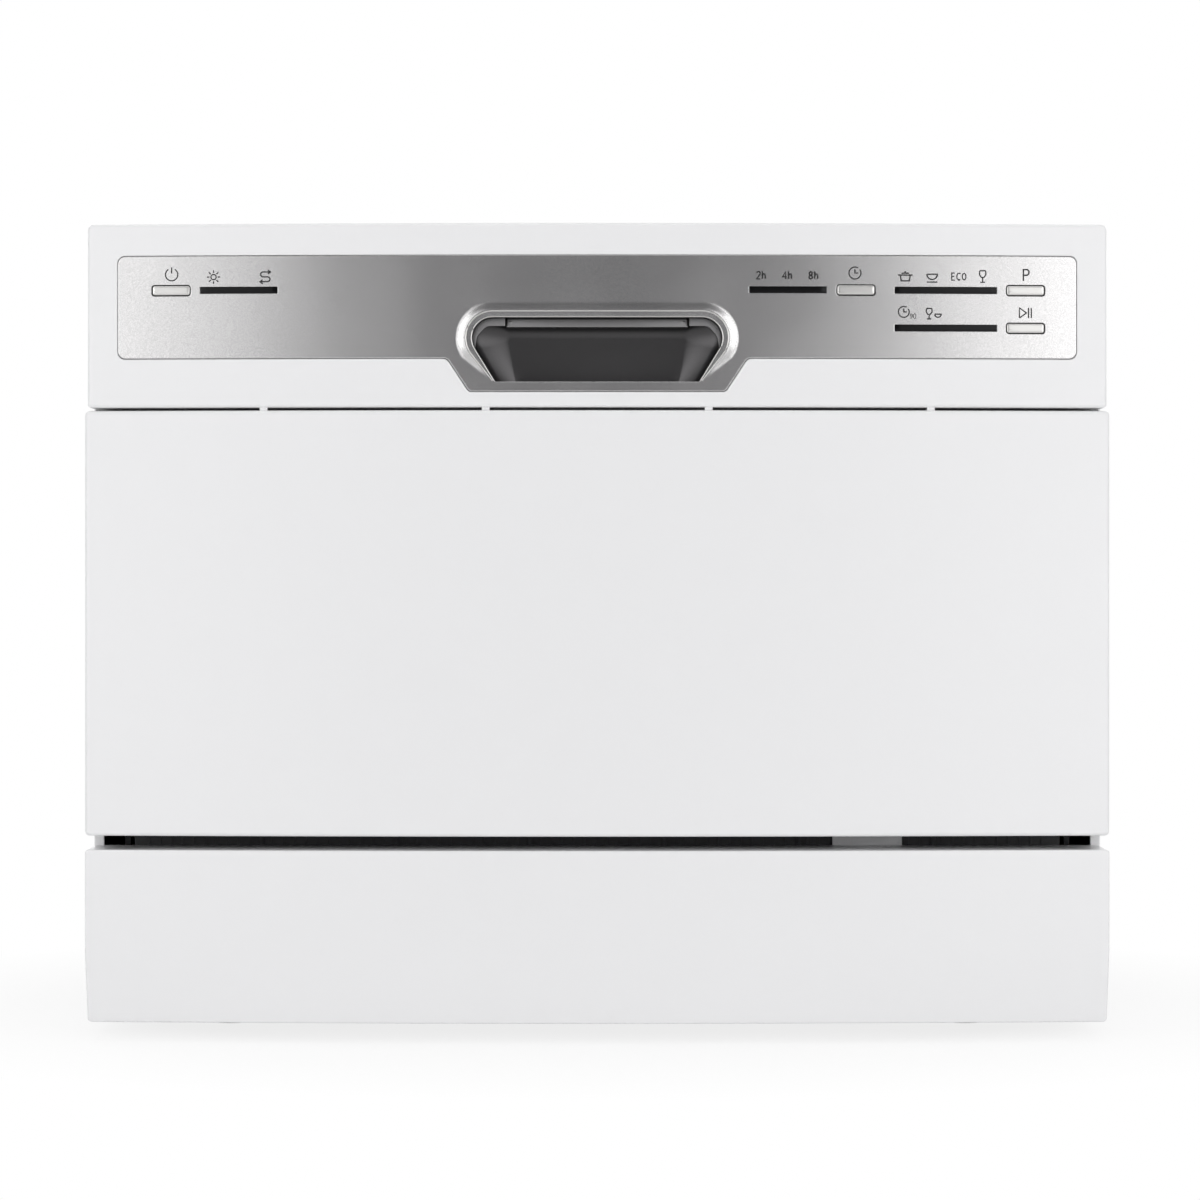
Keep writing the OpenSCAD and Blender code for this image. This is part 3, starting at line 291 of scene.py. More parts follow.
def rings(loop, profile, hole=False):
    """The rings of one outline, or of one hole, from (inset, depth) pairs. A hole grows where an outline shrinks."""
    sign = -1 if hole else 1
    return [(inset(loop, sign * offset) if offset else loop, depth) for offset, depth in profile]


def rolled(radius, depth=0.0, steps=5):
    """The (inset, depth) pairs of a quarter circle rolled from a wall to a face at that depth."""
    angle = np.radians(np.linspace(0, 90, steps))
    return [(radius * (1 - math.cos(a)), depth + radius * (1 - math.sin(a))) for a in angle]


def shell(sets, place=front, spacing=14 * MM, caps=(True, True)):
    """A surface through sets of (loop, depth) rings, one set for the outline and one for each hole.
    The first and the last rings are filled across the sets."""
    points, faces, total = [], [], 0
    for ring_set in sets:
        before = None
        for loop, depth in ring_set:
            here = np.arange(total, total + len(loop))
            points.append(place(loop[:, 0], loop[:, 1], depth))
            total += len(loop)
            if before is not None:
                faces += np.stack([before, np.roll(before, -1), np.roll(here, -1), here], axis=1).tolist()
            before = here
    for end, wanted in zip((0, -1), caps):
        if wanted:
            flat, tris = filled([ring_set[end][0] for ring_set in sets], spacing)
            points.append(place(flat[:, 0], flat[:, 1], sets[0][end][1]))
            faces += (tris + total).tolist()
            total += len(flat)
    return np.concatenate(points), faces


def surface(points, closed_u=False, closed_v=False):
    """The quads of a grid of points: rows run along u and columns along v."""
    rows, columns = points.shape[:2]
    ids = np.arange(rows * columns).reshape(rows, columns)
    if closed_u:
        ids = np.concatenate([ids, ids[:1]])
    if closed_v:
        ids = np.concatenate([ids, ids[:, :1]], axis=1)
    quads = np.stack([ids[:-1, :-1], ids[1:, :-1], ids[1:, 1:], ids[:-1, 1:]], axis=-1)
    return points.reshape(-1, 3), quads.reshape(-1, 4).tolist()


def tube(path, radius, sides=10, closed=False):
    """A round wire: circles of one radius carried square along a path, closed at both ends."""
    path = np.asarray(path, dtype=float)
    ahead = np.roll(path, -1, axis=0) - np.roll(path, 1, axis=0)
    if not closed:
        ahead[0], ahead[-1] = path[1] - path[0], path[-1] - path[-2]
    ahead /= np.linalg.norm(ahead, axis=1)[:, None]
    spare = np.where(np.abs(ahead[:, 2:3]) > 0.9, [[1.0, 0, 0]], [[0, 0, 1.0]])
    across = np.cross(ahead, spare)
    across /= np.linalg.norm(across, axis=1)[:, None]
    upward = np.cross(across, ahead)
    angle = np.linspace(0, 2 * math.pi, sides, endpoint=False)[None, :, None]
    circles = path[:, None] + radius * (across[:, None] * np.cos(angle) + upward[:, None] * np.sin(angle))
    points, faces = surface(circles, closed_u=closed, closed_v=True)
    if not closed:
        faces += [list(range(sides)), list(range(len(points) - sides, len(points)))[::-1]]
    return points, faces


def bent(corners, radius, count=6):
    """A path through corner points in space, with each inner corner bent round that radius."""
    corners = np.asarray(corners, dtype=float)
    parts = [corners[:1]]
    for before, here, after in zip(corners, corners[1:], corners[2:]):
        a, b = before - here, after - here
        reach = min(radius, 0.49 * np.linalg.norm(a), 0.49 * np.linalg.norm(b))
        first, last = here + a / np.linalg.norm(a) * reach, here + b / np.linalg.norm(b) * reach
        t = np.linspace(0, 1, count)[:, None]
        parts.append((1 - t) ** 2 * first + 2 * t * (1 - t) * here + t ** 2 * last)
    return np.concatenate(parts + [corners[-1:]])


def turned(profile, centre, axis="Z", sides=48):
    """A turned shape: (radius, height) pairs swept round an axis through the centre."""
    profile = np.asarray(profile, dtype=float)
    angle = np.linspace(0, 2 * math.pi, sides, endpoint=False)
    r, h = profile[:, 0][:, None], profile[:, 1][:, None]
    a, b, h = r * np.cos(angle), r * np.sin(angle), np.broadcast_to(h, (len(profile), sides))
    order = {"Z": (a, b, h), "X": (h, a, b), "Y": (a, h, b)}[axis]
    return surface(np.stack(order, axis=-1) + np.asarray(centre), closed_v=True)


def slab(x0, x1, y0, y1, z0, z1, radius=0.6 * MM, corner=None):
    """A moulded block: a rounded rectangle seen from above, rolled into its top and bottom faces."""
    least = min(x1 - x0, y1 - y0)
    radius = min(radius, 0.35 * least, 0.45 * (z1 - z0))
    corner = min(corner or 1.6 * radius, 0.45 * least)
    loop = rectangle(x0, x1, y0, y1, corner, 5)
    up = rolled(radius, 0)
    return shell([rings(loop, [(o, z1 - z0 - d) for o, d in reversed(up)] + up)], level(z1), spacing=60 * MM)


def joined(parts):
    """Several (points, faces) pairs as one."""
    points, faces, total = [], [], 0
    for p, f in parts:
        points.append(np.asarray(p))
        faces += [[i + total for i in face] for face in f]
        total += len(p)
    return np.concatenate(points), faces


def mirrored(part):
    """A (points, faces) pair together with its mirror image in X."""
    points, faces = part
    return joined([(points, faces), (points * [-1, 1, 1], [face[::-1] for face in faces])])


def piece(name, part, slot, body, replaces=(), crease=38, weighted=False, finish=None):
    """Puts points and faces into an object in a slot's finish, turns its faces outwards, and rides it on its body."""
    points, faces = part
    mesh = bpy.data.meshes.new(name)
    mesh.from_pydata(np.asarray(points).tolist(), [], faces)
    work = bmesh.new()
    work.from_mesh(mesh)
    bmesh.ops.remove_doubles(work, verts=work.verts, dist=2e-6)
    bmesh.ops.recalc_face_normals(work, faces=work.faces)
    work.to_mesh(mesh)
    work.free()
    mesh.polygons.foreach_set("use_smooth", np.ones(len(mesh.polygons), dtype=bool))
    mesh.set_sharp_from_angle(angle=math.radians(crease))
    mesh.materials.append(material(finish or slot))
    made = bpy.data.objects.new(name, mesh)
    bpy.context.scene.collection.objects.link(made)
    if weighted:
        made.modifiers.new("even shading", "WEIGHTED_NORMAL").keep_sharp = True
    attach(made, body)
    if replaces:
        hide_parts(*replaces)
    return made


def thickened(made, name, thickness, offset):
    """Gives a sheet its thickness: offset -1 grows it inwards and 0 to both sides."""
    solid = made.modifiers.new(name, "SOLIDIFY")
    solid.thickness, solid.offset = thickness, offset


# ---------------------------------------------------------------- finishes


def linear(code):
    """An sRGB hex colour as linear RGBA."""
    parts = [int(code[i:i + 2], 16) / 255 for i in (1, 3, 5)]
    return tuple(c / 12.92 if c <= 0.04045 else ((c + 0.055) / 1.055) ** 2.4 for c in parts) + (1.0,)


def add(tree, kind, inputs=None, **settings):
    """A shader node with its settings; an input is a value or another node's output."""
    node = tree.nodes.new("ShaderNode" + kind)
    for key, value in settings.items():
        setattr(node, key, value)
    for key, value in (inputs or {}).items():
        if isinstance(value, bpy.types.NodeSocket):
            tree.links.new(value, node.inputs[key])
        else:
            node.inputs[key].default_value = value
    return node


def grain(tree, size, stretch=(1, 1, 1), detail=3.0):
    """Noise with a feature size in metres, drawn out along an axis by its stretch."""
    where = add(tree, "TexCoord").outputs["Object"]
    scale = tuple(1 / (size * s) for s in stretch)
    mapped = add(tree, "Mapping", {"Vector": where, "Scale": scale}).outputs["Vector"]
    return add(tree, "TexNoise", {"Vector": mapped, "Scale": 1.0, "Detail": detail}).outputs["Fac"]


def ramp(tree, factor, low_value, high_value, start=0.35, stop=0.65):
    """A factor mapped to a range of values."""
    return add(tree, "MapRange", {"Value": factor, "From Min": start, "From Max": stop,
                                  "To Min": low_value, "To Max": high_value}).outputs["Result"]


def mixed(tree, factor, first, second):
    """Two linear colours mixed by a factor."""
    node = tree.nodes.new("ShaderNodeMix")
    node.data_type = "RGBA"
    tree.links.new(factor, node.inputs[0])
    node.inputs[6].default_value, node.inputs[7].default_value = first, second
    return node.outputs[2]


def bump(tree, height, distance):
    """A bump of a real depth in metres."""
    return add(tree, "Bump", {"Height": height, "Distance": distance, "Strength": 1.0}).outputs["Normal"]


def painted(tree, shader, code, rough, depth, size, spread=0.012, wash=0.97):
    """A coloured coat: a slow wash in its colour, a roughness that wanders, and a fine bump."""
    base = linear(code)
    darker = tuple(c * wash for c in base[:3]) + (1.0,)
    tree.links.new(mixed(tree, grain(tree, 0.2, detail=0.0), darker, base), shader.inputs["Base Color"])
    tree.links.new(ramp(tree, grain(tree, 0.03, detail=1.0), rough - spread, rough + spread, 0.2, 0.8),
                   shader.inputs["Roughness"])
    if depth:
        tree.links.new(bump(tree, grain(tree, size), depth), shader.inputs["Normal"])


def coat(code, rough, depth, size, metallic=0.0, specular=0.5, **settings):
    """A builder of a plain coat: its colour is a hex value or a name in the colours group, and the depth and the
    size of its bump are in millimetres."""
    def build(tree, shader):
        colour = code if code.startswith("#") else getattr(colours(), code)
        painted(tree, shader, colour, rough, depth * MM, size * MM, **settings)
        shader.inputs["Metallic"].default_value = metallic
        shader.inputs["Specular IOR Level"].default_value = specular
    return build


def silver_paint(tree, shader):
    """Metallic paint: flakes give the satin its fine grain, and the metal mirrors the lamps at both ends."""
    base = linear(colours().silver)
    darker = tuple(c * 0.88 for c in base[:3]) + (1.0,)
    flakes = grain(tree, 0.7 * MM, detail=2.0)
    tree.links.new(mixed(tree, ramp(tree, flakes, 0.0, 1.0, 0.38, 0.62), darker, base), shader.inputs["Base Color"])
    tree.links.new(ramp(tree, grain(tree, 40 * MM, detail=0.0), 0.235, 0.255), shader.inputs["Roughness"])
    tree.links.new(bump(tree, flakes, 0.002 * MM), shader.inputs["Normal"])
    shader.inputs["Metallic"].default_value = 0.97


def handle_paint(tree, shader):
    """Darker metallic paint in the pocket, which gives soft highlights in its corners."""
    base = linear(colours().handle)
    darker = tuple(c * 0.85 for c in base[:3]) + (1.0,)
    flakes = grain(tree, 0.6 * MM, detail=4.0)
    tree.links.new(mixed(tree, flakes, darker, base), shader.inputs["Base Color"])
    tree.links.new(ramp(tree, grain(tree, 30 * MM, detail=0.0), 0.35, 0.38), shader.inputs["Roughness"])
    tree.links.new(bump(tree, flakes, 0.01 * MM), shader.inputs["Normal"])
    shader.inputs["Metallic"].default_value = 0.8


def stainless(tree, shader):
    """Bright-annealed stainless steel with a rolling direction: long fine lines that draw the light out."""
    base = linear(colours().stainless)
    darker = tuple(c * 0.88 for c in base[:3]) + (1.0,)
    lines = grain(tree, 0.3 * MM, stretch=(300, 300, 1), detail=1.0)
    tree.links.new(mixed(tree, grain(tree, 0.15, detail=0.0), darker, base), shader.inputs["Base Color"])
    tree.links.new(ramp(tree, lines, 0.34, 0.38), shader.inputs["Roughness"])
    tree.links.new(bump(tree, lines, 0.001 * MM), shader.inputs["Normal"])
    shader.inputs["Metallic"].default_value = 1.0


def zinc_steel(tree, shader):
    """Galvanised steel on the back, pins and motor cans: a faint spangle of lighter and darker grains."""
    where = add(tree, "TexCoord").outputs["Object"]
    cells = add(tree, "TexVoronoi", {"Vector": where, "Scale": 160.0}).outputs["Color"]
    tree.links.new(mixed(tree, cells, linear("#AEB1B4"), linear("#B9BCBF")), shader.inputs["Base Color"])
    tree.links.new(ramp(tree, grain(tree, 12 * MM), 0.4, 0.46), shader.inputs["Roughness"])
    shader.inputs["Metallic"].default_value = 0.9


# The flow of moulded plastic softens each reflection on the white front
GLOSS_WHITE = coat("white", 0.3, 0.02, 1.4, wash=0.985)

# Title and builder of each slot's finish. Bumps: orange peel on powder coat, mottle in ink, spark-eroded tooth in
# plastic, and a coarse tooth that scatters light on the black base.
FINISHES = {
    "white_door": ("Enamelled steel, gloss white", GLOSS_WHITE),
    "white_plastic": ("Moulded ABS, white", GLOSS_WHITE),
    "white_cabinet": ("Powder-coated steel, white", coat("cabinet", 0.42, 0.05, 1.9)),
    "silver_fascia": ("Metallic paint on ABS, silver", silver_paint),
    "handle_grey": ("Metallic paint on ABS, graphite", handle_paint),
    "lever": ("Metallic paint on ABS, mid grey", coat("#8C8B8C", 0.36, 0.006, 0.8, 0.85, wash=0.9)),
    "button_silver": ("Vacuum-metallised ABS", coat("#CAC9C7", 0.3, 0, 1, 0.85)),
    # The smoked acrylic also fills the gap round each key, as painted shade.
    "window_dark": ("Smoked acrylic, polished", coat("#050506", 0.22, 0, 1, specular=0.2, spread=0.02)),
    "print": ("Pad-printed ink", coat("print_grey", 0.5, 0.004, 0.5, wash=0.8)),
    "stainless": ("Stainless steel, bright annealed", stainless),
    "zinc_steel": ("Galvanised steel", zinc_steel),
    "hinge": ("Steel, black passivated", coat("#242527", 0.42, 0.004, 0.8, 0.6, wash=0.85)),
    "rubber_seal": ("EPDM rubber, moulded", coat("#3A3B3D", 0.72, 0.03, 0.7, wash=0.85)),
    "coated_wire": ("Nylon-coated wire", coat("rack", 0.38, 0.02, 0.9)),
    "grey_plastic": ("Polypropylene, grey", coat("#8F9499", 0.46, 0.02, 0.5, wash=0.93)),
    "pale_plastic": ("Polypropylene, pale", coat("#D4D6D8", 0.4, 0.015, 0.6)),
    "blue_plastic": ("Polypropylene, blue", coat("blue", 0.36, 0.015, 0.6, wash=0.9)),
    "black_plastic": ("Glass-filled polypropylene, black", coat("#3B3C3E", 0.62, 0.05, 0.9, wash=0.86)),
    "circuit_board": ("Solder resist, green", coat("#1F5A38", 0.34, 0.02, 1.6, wash=0.8)),
}


def colours():
    """The colours group of the scene."""
    return bpy.context.scene.dishwasher_colours


def material(name):
    """The finish of a slot, made when it is first asked for."""
    title, build = FINISHES[name]
    made = bpy.data.materials.get(title)
    if made is None:
        made = bpy.data.materials.new(title)
        made.use_nodes = True
        build(made.node_tree, made.node_tree.nodes["Principled BSDF"])
    return made


# ---------------------------------------------------------------- the front


def door_end(u, v):
    """Y of the door shell's rear edge: the inner face, drawn forward round the pivot at the heel, and drawn
    further forward in the notches that the fixed hinge brackets pass through and behind the inner door."""
    drop = np.clip(PIVOT[2] - v, 0, HEEL_R)
    back = np.where(np.abs(u) < CONSOLE_HALF - 2 * MM, 1.5 * MM, 0) * (v > PANEL_TOP - 2 * MM)
    brackets = (np.abs(u) > low("hinge_arms")[0] * -1 - 16 * MM) & (np.abs(u) < HALF_W - 10 * MM)
    return np.where(brackets & (v < PANEL_LOW + 2 * MM), low("hinge_brackets")[1] - 2 * MM,
                    PIVOT[1] + np.sqrt(HEEL_R ** 2 - drop ** 2) - back)


def hollow(loop, wall, roll, end):
    """The rings of a closed shell with its wall: inner face, inner wall, rim, outer wall and rolled front."""
    return [(inset(loop, wall), wall), (inset(loop, wall), end), (loop, end)] + rings(loop, rolled(roll))


def make_door_skin():
    """The bowed outer skin of the door: a rounded rectangle on the arc bow(x), rolled at its edges and
    closed behind by its own wall; the rear edge follows the circle of radius HEEL_R round the pivot."""
    loop = stretched(rectangle(-HALF_W, HALF_W, PANEL_LOW, PANEL_TOP, 2.4 * MM), 4 * MM)
    part = shell([hollow(loop, 1.2 * MM, 2.0 * MM, door_end)])
    piece("door_skin", part, "white_door", "door", ["door_outer_panel"], weighted=True)


def fascia_loop(grow=0.0):
    """The outline of the fascia: a band with a tongue under the handle, its corners filleted."""
    s = bpy.context.scene.fascia_sizes
    half, root, foot = s.half + grow, s.tongue_root + grow, s.tongue_half + grow
    corners = [(-half, s.bottom - grow), (-root, s.bottom - grow), (-foot, s.tongue_low - grow),
               (foot, s.tongue_low - grow), (root, s.bottom - grow), (half, s.bottom - grow),
               (half, s.top + grow), (-half, s.top + grow)]
    corner = s.corner
    return stretched(filleted(corners, [corner, corner, 3.2 * MM, 3.2 * MM, corner, corner, corner, corner]), 6 * MM)


def mouth_loop(grow, drop=0.0, foot_grow=None):
    """The outline of the handle's mouth, grown outwards: a foot, two leaning sides, two arcs and a level top.
    Every outline of this family has the same count of points, so that rings of them join point to point."""
    s = bpy.context.scene.fascia_sizes
    foot = s.mouth_foot + (grow if foot_grow is None else foot_grow)
    centre = (s.mouth_half - s.mouth_corner, s.mouth_top - s.mouth_corner)
    bend = arc(centre, s.mouth_corner + grow, -33, 90, 26)
    t = np.linspace(0, 1, 18, endpoint=False)[:, None]
    side = (1 - t) * np.array([foot, s.mouth_low - drop]) + t * bend[0]
    right = np.concatenate([side, bend])
    across = np.linspace(right[-1, 0], -right[-1, 0], 20)[1:-1]
    level_top = np.stack([across, np.full_like(across, right[-1, 1])], axis=1)
    base = np.linspace(-foot, foot, 20)[1:-1]
    level_foot = np.stack([base, np.full_like(base, s.mouth_low - drop)], axis=1)
    return np.concatenate([right, level_top, right[::-1] * [-1, 1], level_foot])


def arc(centre, radius, start, stop, count):
    """Points on a circle arc, with its angles in degrees."""
    angle = np.radians(np.linspace(start, stop, count))
    return np.stack([centre[0] + radius * np.cos(angle), centre[1] + radius * np.sin(angle)], axis=1)


def eased(t):
    """A step from 0 to 1 that starts and ends level: t t (3 - 2 t)."""
    t = np.clip(t, 0, 1)
    return t * t * (3 - 2 * t)


def swell(share, under=0.0):
    """Y of the ridge: the bowed front brought forward by a share of the ridge's height, which fades out
    down the leaning sides of the mouth."""
    s = bpy.context.scene.fascia_sizes

    def y(u, v):
        fade = eased((v - s.mouth_low - 1 * MM) / (20 * MM))
        return bow(u, under) - s.ridge_height * share * fade
    return y


def key_loop(x, z, grow=0.0):
    """A key's outline centred on a point: a rectangle with rounded corners."""
    s = bpy.context.scene.fascia_sizes
    return stretched(rectangle(x - s.key_w / 2 - grow, x + s.key_w / 2 + grow, z - s.key_h / 2 - grow,
                               z + s.key_h / 2 + grow, 1.1 * MM + grow, 6), 2 * MM)


def window_loop(number, grow=0.0):
    """The outline of one indicator window."""
    s = bpy.context.scene.fascia_sizes
    x, z, width = WINDOWS[number]
    return stretched(rectangle(x - width / 2 - grow, x + width / 2 + grow, z - s.window_h / 2 - grow,
                               z + s.window_h / 2 + grow, 0.3 * MM + grow, 3), 3 * MM)


def make_console():
    """The console round the fascia: a bowed shell with an opening in the fascia's outline, rolled edges,
    and four tabs in the slot over the door."""
    s = bpy.context.scene.front_sizes
    loop = stretched(rectangle(-CONSOLE_HALF, CONSOLE_HALF, s.console_low, TOP_Z,
                               [2.2 * MM, 2.2 * MM, s.console_corner, s.console_corner], 8), 6 * MM)
    gap = fascia_loop(0.25 * MM)
    wall = 2.2 * MM
    hole = [(gap, wall), (gap, 0.5 * MM)] + rings(gap, rolled(0.5 * MM)[1:], hole=True)

    def end(u, v):
        return DOOR_BACK - 1.5 * MM * ((np.abs(u) < CONSOLE_HALF - 2 * MM) & (v < s.console_low + 8 * MM))
    body = shell([hollow(loop, wall, 2.0 * MM, end), hole])
    tabs = []
    for x in np.array([-178.7, -59.6, 59.6, 178.7]) * MM:
        tabs.append(slab(x - 2.1 * MM, x + 2.1 * MM, float(bow(x)) + 1.6 * MM, float(bow(x)) + 5 * MM,
                         PANEL_TOP - 0.1 * MM, s.console_low + 0.3 * MM, 0.3 * MM))
    piece("console_shell", joined([body] + tabs), "white_plastic", "door", ["console_housing"],
          weighted=True)


def make_fascia():
    """The metallic fascia: a bowed plate with slots for the keys and windows. Round the mouth a ridge rises
    on an eased slope to a flat rim, and rolls over into the pocket."""
    s = bpy.context.scene.fascia_sizes
    outline = fascia_loop()
    skin = s.skin
    sets = [[(outline, skin)] + rings(outline, rolled(0.45 * MM) + [(0.8 * MM, 0)])]
    inner = mouth_loop(0)
    mouth = [(inner, skin), (inner, 0.5 * MM), (mouth_loop(0.12 * MM, foot_grow=0.1 * MM), swell(0.5, 0.1 * MM)),
             (mouth_loop(0.45 * MM, 0.12 * MM, 0.25 * MM), swell(0.55)),
             (mouth_loop(s.rim - 0.5 * MM, 0.3 * MM, 0.6 * MM), swell(0.55)),
             (mouth_loop(s.rim - 0.15 * MM, 0.35 * MM, 0.7 * MM), swell(0.97)),
             (mouth_loop(s.rim + 0.2 * MM, 0.37 * MM, 0.75 * MM), swell(1.0))]
    for t in np.linspace(0.1, 1, 9):
        grow = s.rim + 0.2 * MM + (s.ridge - s.rim - 0.2 * MM) * t
        mouth.append((mouth_loop(grow, (0.37 + 0.4 * t) * MM, (0.75 + 0.9 * t) * MM), swell(1 - eased(t))))
    mouth += [(mouth_loop(s.ridge + 0.2 * MM, 0.8 * MM, 1.75 * MM), 0),
              (mouth_loop(s.ridge + 0.8 * MM, 1.0 * MM, 2 * MM), 0)]
    sets.append(mouth)
    for slot in [key_loop(x, z, s.key_gap) for x, z in KEYS] + [window_loop(k) for k in range(len(WINDOWS))]:
        sets.append([(slot, skin)] + rings(slot, rolled(0.12 * MM, steps=3) + [(0.4 * MM, 0)], hole=True))
    piece("fascia", shell(sets, spacing=7 * MM), "silver_fascia", "door", ["fascia_trim"], crease=30, weighted=True)


def make_rim_lines():
    """Two fine beads on the rim: round wires along the mouth's outline, from foot to foot over the top."""
    s = bpy.context.scene.fascia_sizes
    parts = []
    for grow, drop, foot, share in ((0.3 * MM, 0.1, 0.2 * MM, 0.52), (s.rim - 0.1 * MM, 0.35, 0.7 * MM, 0.98)):
        path = mouth_loop(grow, drop * MM, foot)[1:-19]
        y = swell(share, -0.02 * MM)(path[:, 0], path[:, 1])
        parts.append(tube(np.stack([path[:, 0], y, path[:, 1]], axis=1), 0.32 * MM, 8))
    piece("rim_lines", joined(parts), "button_silver", "door", crease=60)


def make_pocket():
    """The pocket of the handle: the mouth's outline carried back and drawn in on a quarter turn, y = back - turn
    (1 - sin t), with sides that form a shallow bowl to an upright back, x' = x (1 - w (1 - back / width(z))) where
    y = back - deep (1 - w)^2, and with a lip at each side of the lever."""
    s = bpy.context.scene.fascia_sizes
    back = high("handle_cup")[1] - 2.2 * MM
    drop, turn, deep, back_half = 10.2 * MM, 13.5 * MM, 6.5 * MM, 44 * MM

    def drawn(t):
        """The mouth's outline part of the way to the back's outline."""
        w = 1 - min(1, math.sqrt(turn * (1 - math.sin(t)) / deep))
        inwards = drop * (1 - math.cos(t))
        loop = mouth_loop(-inwards, -0.4 * MM * (1 - math.cos(t)))
        rise = (loop[:, 1] - s.mouth_low) / (s.mouth_top - s.mouth_low)
        width = s.mouth_foot + rise * (s.mouth_half - s.mouth_foot) - inwards
        return np.stack([loop[:, 0] * (1 - w * (1 - back_half / width)), loop[:, 1]], axis=1)

    cup = [(mouth_loop(1.2 * MM), 0.9 * MM), (mouth_loop(0), 0.6 * MM), (mouth_loop(0), 4 * MM)]
    for t in np.radians(np.linspace(0, 90, 15)):
        cup.append((drawn(t), lambda u, v, y=back - turn * (1 - math.sin(t)): np.full_like(u, y)))
    wall = [(mouth_loop(1.2 * MM), lambda u, v: np.full_like(u, back + 1.2 * MM))]
    body = shell([cup[::-1] + wall], spacing=8 * MM)
    piece("handle_pocket", body, "handle_grey", "door", ["handle_cup"], crease=50)
    lip_low, end = s.lip_low, s.lever_half + 0.35 * MM
    corners = [(-end, s.mouth_top), (-end, lip_low), (-59.4 * MM, lip_low), (-64.4 * MM, 377.6 * MM),
               (-65.3 * MM, 371.6 * MM)]
    centre = (s.mouth_corner - s.mouth_half, s.mouth_top - s.mouth_corner)
    outer = arc(centre, s.mouth_corner - 0.1 * MM, 206, 92, 12)
    bend = filleted(np.array(corners), [0, 0.5 * MM, 5 * MM, 5 * MM, 0], 8)
    loop = np.concatenate([bend, outer])[::-1]
    lip = shell([[(loop, 6.4 * MM)] + rings(loop, rolled(0.3 * MM, 4.4 * MM, 4))], spacing=4 * MM)
    piece("handle_lip", mirrored(lip), "handle_grey", "door", crease=30, finish="lever")


def make_lever():
    """The lever's bar: a flat grip with rolled edges, its web and its pivot rod."""
    s = bpy.context.scene.fascia_sizes
    lo, hi = box("latch_lever")
    pivot = JOINTS["latch_lever_pull"]
    grip = slab(-s.lever_half, s.lever_half, lo[1] + 1.2 * MM, pivot[1] - 2 * MM, s.lip_low - 0.4 * MM,
                s.mouth_top - 0.3 * MM, 0.5 * MM, 1.2 * MM)
    rise = np.array([pivot[1] - 5 * MM, pivot[1] - 2 * MM, s.mouth_top - 1 * MM, pivot[2] + 1 * MM])
    web = slab(-s.lever_half + 0.4 * MM, s.lever_half - 0.4 * MM, *rise, 0.4 * MM)
    pips = [turned([(0, 0), (1.0, 0), (0.95, -0.3), (0.6, -0.5), (0, -0.55)] * np.array([MM, MM]),
                   (x, lo[1] + 1.25 * MM, s.lip_low + 2.2 * MM), "Y", 16) for x in (-46.5 * MM, 46.5 * MM)]
    rod = turned([(0, lo[0]), (1.6 * MM, lo[0]), (1.95 * MM, lo[0] + 0.3 * MM), (1.95 * MM, -s.lever_half),
                  (3 * MM, -s.lever_half), (3 * MM, s.lever_half), (1.95 * MM, s.lever_half),
                  (1.95 * MM, hi[0] - 0.3 * MM), (1.6 * MM, hi[0]), (0, hi[0])], (0, pivot[1], pivot[2]), "X", 24)
    finger = slab(-5 * MM, 5 * MM, pivot[1] - 1.5 * MM, pivot[1] + 1.5 * MM, pivot[2], hi[2], 0.4 * MM)
    piece("lever_bar", joined([grip, web, rod, finger] + pips), "handle_grey", "lever", ["latch_lever"], finish="lever")


def make_keys():
    """The four keys: a cap with rounded corners, crowned on its face, over a collar and a stem."""
    names = ["power_button", "delay_button", "program_button", "start_button"]
    bodies = ["power_key", "delay_key", "program_key", "start_key"]
    for (x, z), node, body in zip(KEYS, names, bodies):
        loop = key_loop(x, z)
        crown = [(0, 3.0 * MM), (0, 0.0), (0.12 * MM, -0.32 * MM), (0.45 * MM, -0.52 * MM), (0.9 * MM, -0.58 * MM),
                 (1.6 * MM, -0.6 * MM)]
        cap = shell([rings(loop, crown)], spacing=3 * MM)
        collar = key_loop(x, z, 1.2 * MM)
        ring = shell([rings(collar, [(0, 3.8 * MM), (0, 2.6 * MM)])], spacing=6 * MM)
        y0 = float(bow(x)) + 3 * MM
        stem = turned([(0, y0), (2.2 * MM, y0), (2.2 * MM, high(node)[1] - 0.3 * MM), (1.9 * MM, high(node)[1]),
                       (0, high(node)[1])], (x, 0, z), "Y", 20)
        piece(body + "_cap", joined([cap, ring, stem]), "button_silver", body, [node], crease=50)


def make_windows():
    """The indicator windows: flush strips of smoked acrylic with a rolled edge, and painted shade round each key: a
    ring of the same near-black acrylic fills its gap, standing in for the shade inside it.
    """
    parts = []
    for number in range(len(WINDOWS)):
        loop = window_loop(number, -0.06 * MM)
        parts.append(shell([[(loop, 2.4 * MM)] + rings(loop, rolled(0.1 * MM, 0.12 * MM, 3))], spacing=6 * MM))
    gap = bpy.context.scene.fascia_sizes.key_gap
    # Painted shade: a near-black ring fills the gap round each key, where only the shade inside the gap would show.
    for x, z in KEYS:
        gap_shade_loops = [key_loop(x, z, gap - 0.04 * MM), key_loop(x, z, 0.06 * MM)]
        parts.append(shell([[(loop, 1.6 * MM), (loop, 0.1 * MM)] for loop in gap_shade_loops]))
    piece("windows", joined(parts), "window_dark", "door", ["indicator_windows"])


